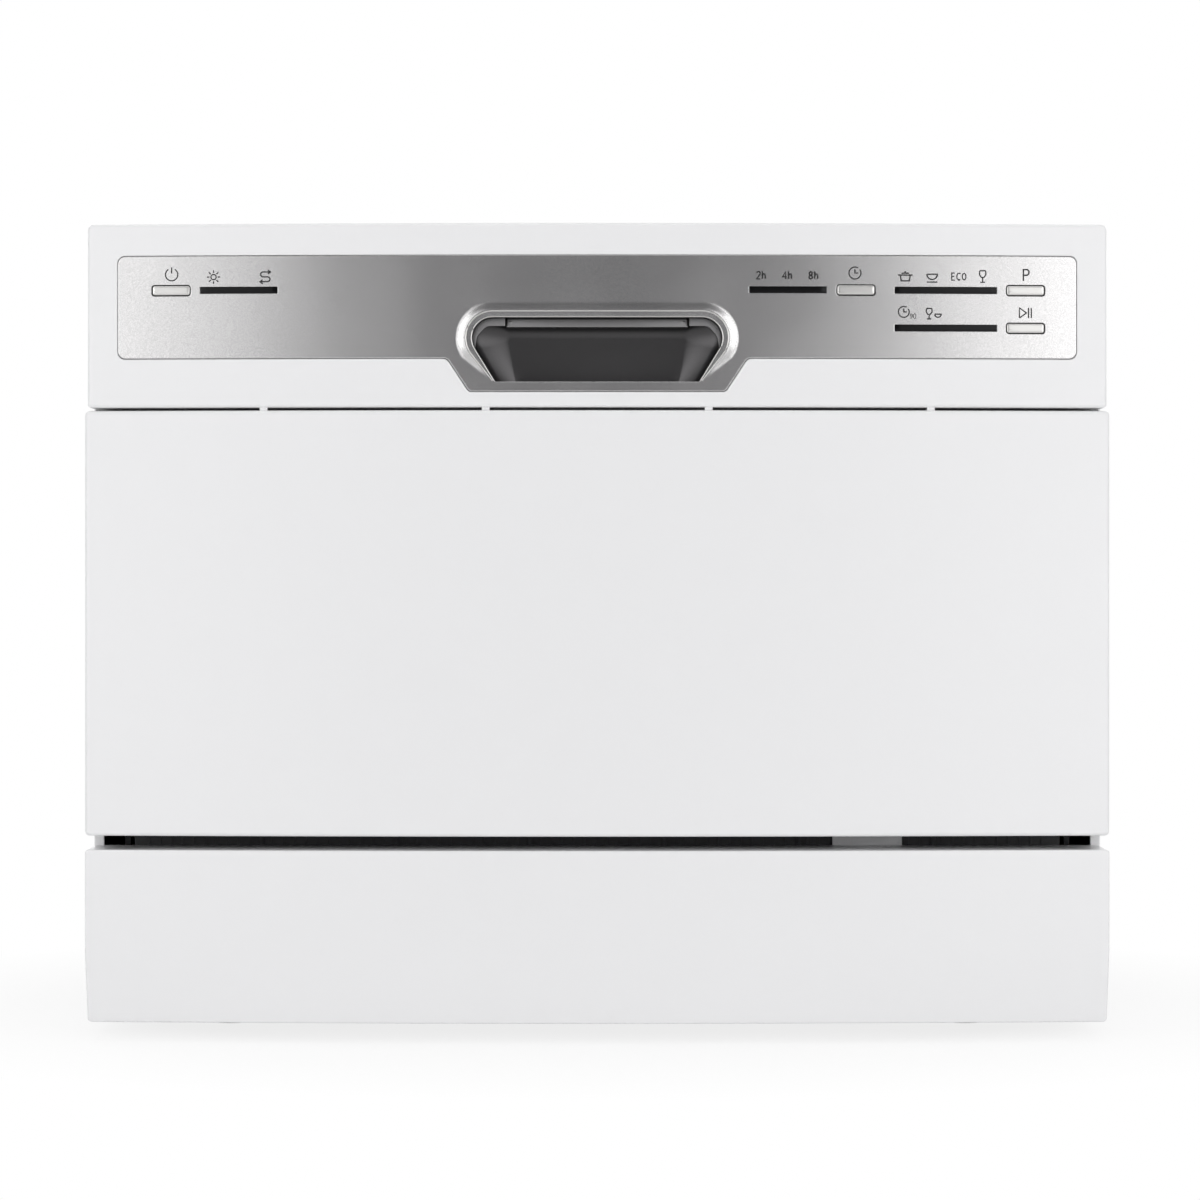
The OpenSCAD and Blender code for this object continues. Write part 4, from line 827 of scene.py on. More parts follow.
def make_skirt():
    """The base skirt: bowed as the door is, with a rolled top edge, leaning in below a soft crease."""
    crease, lean = SKIRT_LOW + 39 * MM, 1.4 * MM

    def leaned(loop):
        shift = lean * np.clip((crease - loop[:, 1]) / (crease - SKIRT_LOW), 0, 1)
        return np.stack([loop[:, 0] * (1 - shift / HALF_W), loop[:, 1]], axis=1)

    def face(depth):
        def y(u, v):
            fall = np.clip((crease - v) / (crease - SKIRT_LOW), 0, 1)
            return bow(u, depth) + lean * fall ** 1.5
        return y
    loop = stretched(rectangle(-HALF_W, HALF_W, SKIRT_LOW, SKIRT_TOP, 2.0 * MM), 6 * MM)
    wall = 3 * MM
    end = lambda u, v: np.full_like(u, CAB_FRONT)
    ring_set = [(leaned(inset(loop, wall)), face(wall)), (leaned(inset(loop, wall)), end), (leaned(loop), end)]
    ring_set += [(leaned(ring), face(depth)) for ring, depth in rings(loop, rolled(0.9 * MM) + [(1.6 * MM, 0)])]
    piece("skirt", shell([ring_set], spacing=9 * MM), "white_plastic", "cabinet", ["base_skirt"],
          weighted=True)


def make_toe_gap():
    """Behind the gap: a dark panel with coarse and fine upright ribs, and the harness guard."""
    lo, hi = box("kick_panel")
    plate = slab(lo[0], hi[0], lo[1] + 1.6 * MM, hi[1], lo[2], hi[2], 0.5 * MM)
    ribs = [slab(x - 1.25 * MM, x + 1.25 * MM, lo[1], hi[1] - 0.5 * MM, lo[2] + 1 * MM, hi[2] - 6 * MM, 0.4 * MM)
            for x in np.arange(-2.5, 3) * 73.5 * MM]
    fine = [slab(x - 0.5 * MM, x + 0.5 * MM, lo[1] + 1.1 * MM, hi[1] - 0.5 * MM, lo[2] + 60 * MM, hi[2] - 30 * MM,
                 0.2 * MM) for x in np.arange(lo[0] + 8 * MM, hi[0] - 6 * MM, 6.1 * MM)]
    piece("toe_panel", joined([plate] + ribs + fine), "black_plastic", "cabinet", ["kick_panel"])
    lo, hi = box("harness_guard")
    guard = slab(lo[0], hi[0], lo[1], hi[1], lo[2], hi[2], 0.8 * MM)
    edge = slab(hi[0] - 2.2 * MM, hi[0] - 0.4 * MM, lo[1] - 0.4 * MM, lo[1] + 1 * MM, lo[2] + 0.6 * MM,
                hi[2] - 0.6 * MM, 0.3 * MM)
    piece("guard", joined([guard, edge]), "pale_plastic", "cabinet", ["harness_guard"], finish="white_plastic")


# ---------------------------------------------------------------- printed symbols


def stroke(points, width=0.7):
    """A line of ink: two offsets of a polyline in millimetres, half the width to each side, mitred at its bends."""
    points = np.asarray(points, dtype=float)
    run = np.diff(points, axis=0)
    run /= np.linalg.norm(run, axis=1)[:, None]
    turn = np.concatenate([run[:1], run[:-1] + run[1:], run[-1:]])
    turn /= np.maximum(np.linalg.norm(turn, axis=1), 0.3)[:, None]
    side = np.stack([-turn[:, 1], turn[:, 0]], axis=1)
    lean = np.maximum(np.sum(turn * np.concatenate([run, run[-1:]]), axis=1), 0.6)
    side *= width / 2 / lean[:, None]
    ids = np.arange(len(points))
    faces = np.stack([ids[:-1], ids[1:], ids[1:] + len(points), ids[:-1] + len(points)], axis=1).tolist()
    return np.concatenate([points - side, points + side]), faces


def ring_mark(x, z, radius, start=0, stop=360, width=0.66):
    """An arc of ink."""
    return stroke(arc((x, z), radius, start, stop, 40), width)


def power_mark(x, z):
    """A broken ring with an upright bar."""
    return [ring_mark(x, z, 3.3, 122, 418), stroke([(x, z + 0.6), (x, z + 4.0)])]


def sun_mark(x, z):
    """A ring with eight rays: the rinse aid symbol."""
    rays = [stroke([(x + 2.2 * math.cos(a), z + 2.2 * math.sin(a)), (x + 3.6 * math.cos(a), z + 3.6 * math.sin(a))],
                   0.64) for a in np.arange(8) * math.pi / 4]
    return [ring_mark(x, z, 1.4, width=0.64)] + rays


def salt_mark(x, z):
    """A bent line with an arrow head at each end: the salt symbol."""
    bend = np.concatenate([arc((x - 1.2, z + 1.1), 1.3, 90, 270, 12), arc((x + 1.2, z - 1.5), 1.3, 90, -90, 12)])
    return [stroke(np.concatenate([[(x + 2.2, z + 2.4)], bend, [(x - 2.2, z - 2.8)]])),
            stroke([(x + 1.4, z + 3.5), (x + 2.8, z + 2.4), (x + 1.4, z + 1.3)]),
            stroke([(x - 1.4, z - 1.7), (x - 2.8, z - 2.8), (x - 1.4, z - 3.9)])]


def clock_mark(x, z, radius=3.2):
    """A ring with two hands."""
    return [ring_mark(x, z, radius, 60, 395), stroke([(x, z + 0.62 * radius), (x, z), (x + 0.55 * radius, z)])]


def pot_mark(x, z):
    """A pot with two ears and a lid."""
    return [stroke([(x - 2.6, z + 0.9), (x - 2.2, z - 2.2), (x + 2.2, z - 2.2), (x + 2.6, z + 0.9)]),
            stroke([(x - 4.0, z + 0.9), (x + 4.0, z + 0.9)]), stroke([(x - 2.0, z + 1.9), (x + 2.0, z + 1.9)]),
            stroke([(x, z + 1.9), (x, z + 3.0)])]


def cup_mark(x, z, radius=2.8):
    """A cup on its saucer."""
    bowl = arc((x, z + radius / 2), radius, 180, 360, 20)
    return [stroke(np.concatenate([bowl, bowl[:1]])), stroke([(x - radius, z - radius), (x + radius, z - radius)])]


def glass_mark(x, z, scale=1.0):
    """A stemmed glass."""
    bowl = np.array([(-1.6, 3.2), (-1.7, 1.2), (-0.9, -0.2), (0, -0.5), (0.9, -0.2), (1.7, 1.2), (1.6, 3.2)]) * scale
    return [stroke(bowl + (x, z)), stroke([(x - 1.6 * scale, z + 3.2 * scale), (x + 1.6 * scale, z + 3.2 * scale)]),
            stroke([(x, z - 0.5 * scale), (x, z - 3.0 * scale)]),
            stroke([(x - 1.3 * scale, z - 3.0 * scale), (x + 1.3 * scale, z - 3.0 * scale)])]


# The shapes of the few signs that a dial carries, on a grid four units high
SIGNS = {
    "0": [[(0.2, 0.8), (0.2, 3.2), (0.7, 4), (1.6, 4), (2.1, 3.2), (2.1, 0.8), (1.6, 0), (0.7, 0), (0.2, 0.8)]],
    "2": [[(0.2, 3.2), (0.6, 3.9), (1.6, 4), (2.1, 3.3), (2.0, 2.5), (0.2, 0), (2.2, 0)]],
    "4": [[(1.7, 0), (1.7, 4), (0.1, 1.2), (2.3, 1.2)]],
    "8": [[(1.15, 2.1), (0.5, 2.5), (0.4, 3.4), (1.15, 4), (1.9, 3.4), (1.8, 2.5), (1.15, 2.1), (0.3, 1.5), (0.2, 0.6),
           (1.15, 0), (2.1, 0.6), (2.0, 1.5), (1.15, 2.1)]],
    "9": [[(0.3, 0.2), (1.4, 0.2), (2.1, 1.6), (2.1, 3.2), (1.2, 4), (0.3, 3.2), (0.4, 2.2), (1.2, 1.8), (2.0, 2.4)]],
    "h": [[(0.3, 0), (0.3, 4.2)], [(0.3, 2.0), (0.9, 2.7), (1.6, 2.6), (1.9, 1.9), (1.9, 0)]],
    "E": [[(2.2, 4), (0.4, 4), (0.4, 0), (2.2, 0)], [(0.4, 2.1), (1.9, 2.1)]],
    "C": [[(2.3, 3.5), (1.9, 3.9), (1.2, 3.9), (0.6, 3.4), (0.3, 2.6), (0.3, 1.4), (0.6, 0.6), (1.2, 0.1), (1.9, 0.1),
           (2.3, 0.5)]],
    "O": [[(1.4, 3.9), (0.8, 3.5), (0.4, 2.6), (0.4, 1.4), (0.8, 0.5), (1.4, 0.1), (2.0, 0.5), (2.4, 1.4), (2.4, 2.6),
           (2.0, 3.5), (1.4, 3.9)]],
    "P": [[(0.3, 0), (0.3, 4), (1.7, 4), (2.3, 3.5), (2.3, 2.6), (1.7, 2.0), (0.3, 2.0)]],
}


def sign_marks(signs, x, z, height, width=0.82):
    """A row of signs centred on a point."""
    scale, pitch = height / 4, 3.0
    start = x - (pitch * len(signs) - 0.7) * scale / 2
    return [stroke(np.array(line) * scale + (start + i * pitch * scale, z - height / 2), width)
            for i, sign in enumerate(signs) for line in SIGNS[sign]]


def play_mark(x, z):
    """A triangle and two bars."""
    return [stroke([(x - 3.2, z - 2.7), (x - 3.2, z + 2.7), (x + 0.6, z), (x - 3.2, z - 2.7)]),
            stroke([(x + 1.7, z - 2.7), (x + 1.7, z + 2.7)]), stroke([(x + 3.2, z - 2.7), (x + 3.2, z + 2.7)])]


def make_print():
    """The printed symbols: flat outlines in millimetres laid on the bowed fascia as a film 0.03 mm thick."""
    marks = power_mark(-228.0, 410.8) + sun_mark(-205.4, 409.4) + salt_mark(-177.6, 409.6)
    marks += sign_marks("2h", 87.6, 410.0, 3.9) + sign_marks("4h", 101.6, 410.0, 3.9)
    marks += sign_marks("8h", 115.6, 410.0, 3.9) + clock_mark(137.8, 411.3)
    marks += pot_mark(164.8, 409.4) + cup_mark(179.2, 409.4)
    marks += sign_marks("ECO", 193.3, 409.6, 3.8, 0.62) + glass_mark(206.4, 409.6)
    marks += sign_marks("P", 229.6, 410.5, 6.0, 0.78)
    marks += clock_mark(164.0, 390.6, 2.9) + sign_marks("90", 168.9, 388.4, 2.5, 0.34)
    marks += glass_mark(177.6, 389.6, 0.9) + cup_mark(182.3, 388.6, 1.7)[:1] + play_mark(229.4, 390.3)
    flat, faces = joined(marks)
    flat = flat * MM
    points = np.stack([flat[:, 0], bow(flat[:, 0], -0.03 * MM), flat[:, 1]], axis=1)
    made = piece("symbols", (points, faces), "window_dark", "door", finish="print")
    thickened(made, "film", 0.06 * MM, 0)


# ---------------------------------------------------------------- the cabinet


def make_side_panels():
    """The sides: sheets folded round the front and rear edges, with a shallow pressed field and a sunken grip."""
    y0, y1, z0, z1 = CAB_FRONT, REAR_Y - 1.2 * MM, low("side_panel_right")[2], high("side_panel_right")[2]
    loop = stretched(rectangle(y0, y1, z0, z1, 1.2 * MM), 20 * MM)
    field = stretched(rectangle(y0 + 34 * MM, y1 - 34 * MM, SKIRT_TOP + 34 * MM, z1 - 30 * MM, 16 * MM, 8), 12 * MM)
    grip = stretched(rectangle(-45 * MM, 45 * MM, 46 * MM, 66 * MM, 9.9 * MM, 8), 8 * MM)
    press = [(0, 0.0), (0.4 * MM, 0.05 * MM), (1.6 * MM, 0.55 * MM), (2.6 * MM, 0.8 * MM), (3.4 * MM, 0.9 * MM)]
    outer = [(inset(loop, 0.1 * MM), 1.2 * MM)] + rings(loop, rolled(0.9 * MM))
    holes = [rings(field, press)[::-1], rings(grip, [(0, 0.0), (0.6 * MM, 0.4 * MM), (1.6 * MM, 3.6 * MM)])[::-1]]
    frame_part = shell([outer] + [hole[-1:] for hole in holes], right_side, 26 * MM, (False, True))
    floors = [shell([hole], right_side, 26 * MM, (True, False)) for hole in holes]
    flange = [slab(HALF_W - wide, HALF_W - 0.6 * MM, y0, y0 + 1.2 * MM, foot, z1, 0.3 * MM)
              for wide, foot in ((5.5 * MM, SKIRT_TOP - 2.5 * MM), (12 * MM, PANEL_LOW + 4 * MM))]
    part = joined([frame_part] + floors + flange)
    for side, name in ((1, "right"), (-1, "left")):
        points, faces = part if side > 0 else (part[0] * [-1, 1, 1], part[1])
        made = piece("side_sheet_" + name, (points, faces), "white_cabinet", "cabinet", ["side_panel_" + name],
                     weighted=True)
        thickened(made, "sheet", SHEET, -1)


def make_top():
    """The top: one sheet with rolled edges and drawn corners, turned down over the sides."""
    y0, y1, z0 = CAB_FRONT, REAR_Y, low("top_cover")[2]
    loop = stretched(rectangle(-HALF_W, HALF_W, y0, y1, [1.2 * MM, 1.2 * MM, 5 * MM, 5 * MM], 8), 16 * MM)
    drop = TOP_Z - z0
    inner = inset(loop, 1.0 * MM)
    ring_set = [(inner, 1.4 * MM), (inner, drop), (loop, drop)] + rings(loop, rolled(3.0 * MM, steps=7))
    piece("top_sheet", shell([ring_set], top, 30 * MM), "white_cabinet", "cabinet", ["top_cover"], weighted=True)


def make_back():
    """The back: a galvanised sheet with pressed fields, vents and a recess for its connections."""
    z0, z1 = low("rear_panel")[2], low("top_cover")[2] - 0.4 * MM
    loop = stretched(rectangle(-HALF_W, HALF_W, z0, z1, 1.5 * MM), 20 * MM)
    recess_lo, recess_hi = np.array([-230, 22]) * MM, np.array([-50, 95]) * MM
    recess = stretched(rectangle(recess_lo[0], recess_hi[0], recess_lo[1], recess_hi[1], 3 * MM), 8 * MM)
    fields = [rectangle(-236 * MM, -14 * MM, 200 * MM, 404 * MM, 14 * MM, 7),
              rectangle(14 * MM, 236 * MM, 200 * MM, 404 * MM, 14 * MM, 7)]
    fields = [stretched(field, 10 * MM) for field in fields]
    press = [(0, 0.0), (1.0 * MM, 0.2 * MM), (3.6 * MM, 2.0 * MM), (4.8 * MM, 2.2 * MM)]
    vents = [stretched(rectangle(x * MM, (x + 4) * MM, z * MM, (z + 30) * MM, 1.9 * MM, 5), 6 * MM)
             for row, z in ((range(-40, 50, 10), 140), (range(70, 200, 10), 62)) for x in row]
    pressed = [rings(field, press)[::-1] for field in fields]
    outer = rings(loop, rolled(0.6 * MM, steps=4))
    mouth = rings(recess, [(0, 30 * MM), (0, 0.6 * MM), (0.6 * MM, 0.0)], hole=True)
    slots = [rings(vent, [(0, 1.2 * MM), (0, 0.3 * MM), (0.3 * MM, 0.0)], hole=True) for vent in vents]
    sheet = shell([outer] + [ring_set[-1:] for ring_set in pressed + [mouth] + slots], rear, 26 * MM, (False, True))
    parts = [sheet] + [shell([ring_set], rear, 26 * MM, (True, False)) for ring_set in pressed]
    parts += [shell([ring_set], rear, 26 * MM, (False, False)) for ring_set in [mouth] + slots]
    made = piece("back_sheet", joined(parts), "zinc_steel", "cabinet", ["rear_panel"], weighted=True)
    thickened(made, "sheet", SHEET, -1)


def screw(x, y, z, radius=4.5 * MM, tall=1.2 * MM):
    """A pan-head screw that looks along +Y: a domed head with a cross recess cut as a sunken star."""
    count = 48
    angle = np.linspace(0, 2 * math.pi, count, endpoint=False)
    cross = np.where(np.abs(np.sin(2 * angle)) < 0.45, 0.62, 0.2)[None]
    rows = [(1.0, 0.0, 0), (1.0, 0.5, 0), (0.86, 0.85, 0), (0.66, 1.0, 0), (0, 1.0, 1), (0, 0.35, 1)]
    grid = []
    for share, rise, star in rows:
        r = radius * (cross[0] if star else np.full(count, share))
        grid.append(np.stack([x + r * np.cos(angle), np.full(count, y + tall * rise), z + r * np.sin(angle)], axis=-1))
    points, faces = surface(np.array(grid), closed_v=True)
    faces.append(list(range(len(points) - count, len(points))))
    faces.append(list(range(count))[::-1])
    return points, faces


def make_screws():
    """The screws of the back."""
    lo, hi = box("cabinet_screws")
    rows = [lo[2] + 4.5 * MM, (lo[2] + hi[2]) / 2, hi[2] - 4.5 * MM]
    heads = [screw(x, REAR_Y, z) for x in (lo[0] + 4.5 * MM, hi[0] - 4.5 * MM) for z in rows]
    piece("back_screws", joined(heads), "zinc_steel", "cabinet", ["cabinet_screws"], crease=30)


def make_feet():
    """The feet: turned rubber pads with a chamfer and a groove, on threaded stems."""
    lo, hi = box("feet")
    parts = []
    for x in (lo[0] + 18 * MM, hi[0] - 18 * MM):
        for y in (lo[1] + 18 * MM, hi[1] - 18 * MM):
            profile = [(0, 0), (15, 0), (17, 0.8), (18, 2.2), (18, 4.2), (16.8, 4.6), (16.8, 5.2), (17.6, 5.8),
                       (17.2, 6.5), (9, 6.5), (9, 12.5), (4, 12.5), (4, 15.5), (0, 15.5)]
            parts.append(turned(np.array(profile) * MM, (x, y, 0), sides=40))
    piece("foot_pads", joined(parts), "rubber_seal", "cabinet", ["feet"], crease=30)


# ---------------------------------------------------------------- the inside


def inward(y):
    """A placer for faces that look into the tub: depth lies before one Y, u is X and v is Z."""
    return lambda u, v, depth: np.stack([u, y - (depth(u, v) if callable(depth) else depth) + 0 * u, v], axis=-1)


def facing(x, sign=1):
    """A placer for faces that look along X: depth lies inside one X, u is Y and v is Z."""
    return lambda u, v, depth: np.stack([x - sign * depth + 0 * u, u, v], axis=-1)


def raised(u, v, x0, x1, z0, z1, corner, slope):
    """A pressed field: 1 inside a rounded rectangle, falling to 0 on an eased slope at its edge.
    The distance to the rectangle is max(|p| - half, 0) in both directions, less its corner."""
    du = np.abs(u - (x0 + x1) / 2) - (x1 - x0) / 2 + corner
    dv = np.abs(v - (z0 + z1) / 2) - (z1 - z0) / 2 + corner
    away = np.hypot(np.maximum(du, 0), np.maximum(dv, 0)) + np.minimum(np.maximum(du, dv), 0) - corner
    return eased(-away / slope)


def knurled(radius, wave, count, profile, centre, axis="Z", sides=96):
    """A turned cap with a rippled grip: radius (share + wave cos(count a)) for each (share, height, ripple)."""
    angle = np.linspace(0, 2 * math.pi, sides, endpoint=False)
    rows = np.array(profile)
    r = rows[:, 0:1] * radius + rows[:, 2:3] * wave * np.cos(count * angle)
    a, b, h = r * np.cos(angle), r * np.sin(angle), np.broadcast_to(rows[:, 1:2], r.shape)
    order = {"Z": (a, b, h), "Y": (a, h, b)}[axis]
    return surface(np.stack(order, axis=-1) + np.asarray(centre), closed_v=True)


def make_inner_door():
    """The stainless inner door: the plane of the door's back, rolled forward round the pivot at its foot,
    with one pressed field, two beads and the opening for the dispenser."""
    lo, hi = box("door_inner_panel")
    d0, d1 = box("dispenser_body")

    def face(under):
        def y(u, v):
            drop = np.clip(PIVOT[2] - v, 0, HEEL_R - under)
            flat = PIVOT[1] + np.sqrt((HEEL_R - under) ** 2 - drop ** 2)
            field = raised(u, v, -0.226, 0.226, 0.178, 0.404, 26 * MM, 9 * MM)
            beads = sum(raised(u, v, x - 0.03, x + 0.03, 0.205, 0.378, 12 * MM, 5 * MM) for x in (-0.155, 0.155))
            return flat + 2.6 * MM * field - 1.6 * MM * beads
        return y
    notch = JOINTS["latch_hook_lift"][2] - 6 * MM
    corners = [(lo[0], lo[2] + 0.2 * MM), (hi[0], lo[2] + 0.2 * MM), (hi[0], hi[2]), (9 * MM, hi[2]), (9 * MM, notch),
               (-9 * MM, notch), (-9 * MM, hi[2]), (lo[0], hi[2])]
    loop = stretched(filleted(corners, np.array([0, 0, 6, 1, 1, 1, 1, 6]) * MM), 4 * MM)
    hole = stretched(rectangle(d0[0], d1[0], d0[2], d1[2], 6 * MM), 4 * MM)
    sets = [[(edge, face(1 * MM)), (edge, face(0))] for edge in (loop, hole)]
    piece("inner_door", shell(sets, spacing=3.6 * MM), "stainless", "door", ["door_inner_panel"], weighted=True)


def make_dispenser():
    """The dispenser: a moulded face with a rolled rim round the detergent cup and the rinse-aid well, the flap
    with its pin and nib, and a ribbed turning cap."""
    lo, hi = box("dispenser_body")
    f0, f1 = box("detergent_flap")
    c0, c1 = box("rinse_aid_cap")
    face = hi[1]
    cap_x, cap_z, cap_r = (c0[0] + c1[0]) / 2, (c0[2] + c1[2]) / 2, (c1[0] - c0[0]) / 2
    outline = stretched(rectangle(lo[0], hi[0], lo[2], hi[2], 6 * MM, 8), 6 * MM)
    cup = stretched(rectangle(f0[0] + 1 * MM, f1[0] - 1 * MM, f0[2] + 1.5 * MM, f1[2] - 1 * MM, 4 * MM, 6), 6 * MM)
    angle = np.linspace(0, 2 * math.pi, 40, endpoint=False)
    well = np.stack([cap_x + (cap_r - 2.5 * MM) * np.cos(angle), cap_z + (cap_r - 2.5 * MM) * np.sin(angle)], axis=1)
    deep = face - lo[1]
    sets = [[(outline, deep)] + rings(outline, rolled(1.6 * MM)),
            [(cup, deep)] + rings(cup, rolled(0.9 * MM), hole=True),
            [(well, deep)] + rings(well, rolled(0.5 * MM), hole=True)]
    floor = slab(f0[0] - 1 * MM, f1[0] + 2 * MM, lo[1] + 1 * MM, lo[1] + 9 * MM, f0[2] - 1 * MM, f1[2] + 1 * MM)
    back = slab(cap_x - cap_r, cap_x + cap_r, lo[1] + 1 * MM, lo[1] + 5 * MM, cap_z - cap_r, cap_z + cap_r)
    ears = [slab(x, x + 2 * MM, face - 1 * MM, face + 0.2 * MM, f0[2] - 0.6 * MM, f0[2] + 4 * MM, 0.3 * MM)
            for x in (f0[0] - 2.4 * MM, f1[0] + 0.4 * MM)]
    bars = [slab(29 * MM, 55 * MM, face - 0.5 * MM, face + 0.5 * MM, lo[2] + 5 * MM + k * 3.4 * MM,
                 lo[2] + 6.2 * MM + k * 3.4 * MM, 0.3 * MM) for k in range(2)]
    piece("dispenser", joined([shell(sets, inward(face), spacing=8 * MM), floor, back] + ears + bars),
          "grey_plastic", "door", ["dispenser_body"])
    leaf = rectangle(f0[0] + 1.1 * MM, f1[0] - 1.1 * MM, f0[2] + 1.6 * MM, f1[2], [0.5 * MM, 0.5 * MM, 4 * MM, 4 * MM])
    leaf = stretched(leaf, 5 * MM)
    thick = f1[1] - f0[1] - 1.2 * MM
    plate = shell([[(leaf, thick)] + rings(leaf, rolled(0.6 * MM, 0.0, 4))], inward(f1[1] - 1.2 * MM), spacing=6 * MM)
    pin = turned([(0, f0[0]), (1.2 * MM, f0[0]), (1.2 * MM, f1[0]), (0, f1[0])],
                 JOINTS["detergent_flap_hinge"] * [0, 1, 1], "X", 20)
    nib = slab(f1[0] - 24 * MM, f1[0] - 8 * MM, f1[1] - 1.6 * MM, f1[1], f1[2] - 8 * MM, f1[2] - 3 * MM, 0.5 * MM)
    ribs = [slab(f0[0] + 6 * MM, f1[0] - 6 * MM, f1[1] - 1.4 * MM, f1[1] - 0.7 * MM, z, z + 1 * MM, 0.3 * MM)
            for z in (f0[2] + 10 * MM, f0[2] + 15 * MM, f0[2] + 20 * MM)]
    piece("flap_leaf", joined([plate, pin, nib] + ribs), "pale_plastic", "flap", ["detergent_flap"])
    base, tip = face + 0.3 * MM - 14 * MM, c1[1] - 2 * MM
    start = face + 0.4 * MM
    cap = knurled(cap_r - 0.5 * MM, 0.4 * MM, 24, [(0, start, 0), (0.95, start, 0), (1, start + 0.4 * MM, 1),
                  (1, tip - 0.5 * MM, 1), (0.95, tip, 0), (0.6, tip - 0.3 * MM, 0), (0, tip - 0.3 * MM, 0)],
                  (cap_x, 0, cap_z), "Y")
    stem = turned([(0, base), (9 * MM, base), (9 * MM, start + 0.2 * MM), (0, start + 0.2 * MM)],
                  (cap_x, 0, cap_z), "Y", 32)
    grip = slab(cap_x - 11.5 * MM, cap_x + 11.5 * MM, tip - 1.5 * MM, c1[1], cap_z - 1.8 * MM, cap_z + 1.8 * MM,
                0.6 * MM)
    piece("rinse_cap", joined([cap, stem, grip]), "blue_plastic", "rinse_cap", ["rinse_aid_cap"])


def make_seal():
    """The tub's seal: a rubber section with two lips, carried round the rounded mouth of the tub.
    The section is a closed row of (outwards, forwards) pairs."""
    lo, hi = box("tub_gasket")
    wide = 4.3 * MM
    mouth = rectangle(lo[0] + wide, hi[0] - wide, lo[2] + wide, hi[2] - wide, 12 * MM, 12)
    mouth = stretched(mouth, 12 * MM)
    thick = hi[1] - lo[1]
    section = np.array([(0.2, 0), (4.1, 0), (4.2, 0.5), (3.7, 0.95), (3.0, 0.8), (2.6, 0.45), (2.1, 0.45), (1.7, 0.8),
                        (1.0, 1.0), (0.3, 0.9), (0.05, 0.5)])
    rows = [inward(hi[1])(*inset(mouth, -out * MM).T, forward * thick) for out, forward in section]
    piece("seal", surface(np.array(rows), closed_u=True, closed_v=True), "rubber_seal", "cabinet", ["tub_gasket"],
          crease=60)


def make_tub_pressings():
    """The fields pressed into the tub's walls, ceiling and back: thin skins on the plain walls that rise on an
    eased slope to a flat field. Their edges lie in the wall itself."""
    hi = high("tub")
    inner_x, ceiling, back = hi[0] - 15.5 * MM, hi[2] - 14 * MM, hi[1] - 1.5 * MM

    def skin(place, a0, a1, b0, b1, fields, rise):
        """A closed skin: its front follows the fields and its back lies under the wall's face."""
        outline = stretched(rectangle(a0, a1, b0, b1, 8 * MM), 5 * MM)
        height = lambda u, v: 0.25 * MM - rise * sum(raised(u, v, *f, 10 * MM, 7 * MM) for f in fields)
        flat, tris = filled([outline], 4.5 * MM)
        both = [place(flat[:, 0], flat[:, 1], d) for d in (height(*flat.T), 0.9 * MM + 0 * flat[:, 0])]
        edge = [place(outline[:, 0], outline[:, 1], d + 0 * outline[:, 0]) for d in (0.25 * MM, 0.9 * MM)]
        rim = surface(np.array(edge), closed_v=True)
        return joined([(both[0], tris.tolist()), (both[1], tris[:, ::-1].tolist()), rim])
    side_fields = [(-0.150, -0.04, 0.205, 0.385), (-0.01, 0.09, 0.205, 0.385), (0.12, 0.18, 0.205, 0.385)]
    side = skin(lambda u, v, d: np.stack([inner_x + d, u, v], -1), -0.176, 0.194, 0.184, 0.402, side_fields, 2.2 * MM)
    rear_fields = [(-0.19, -0.075, 0.19, 0.385), (-0.045, 0.045, 0.19, 0.385), (0.075, 0.19, 0.19, 0.385)]
    rear_skin = skin(lambda u, v, d: np.stack([u, back + d, v], -1), -0.222, 0.222, 0.182, 0.402, rear_fields, 2.2 * MM)
    roof = skin(lambda u, v, d: np.stack([u, v, ceiling + d], -1), -0.224, 0.224, -0.176, 0.192,
                [(-0.19, 0.19, -0.15, 0.165)], 2.0 * MM)
    piece("tub_pressings", joined([mirrored(side), rear_skin, roof]), "stainless", "cabinet")


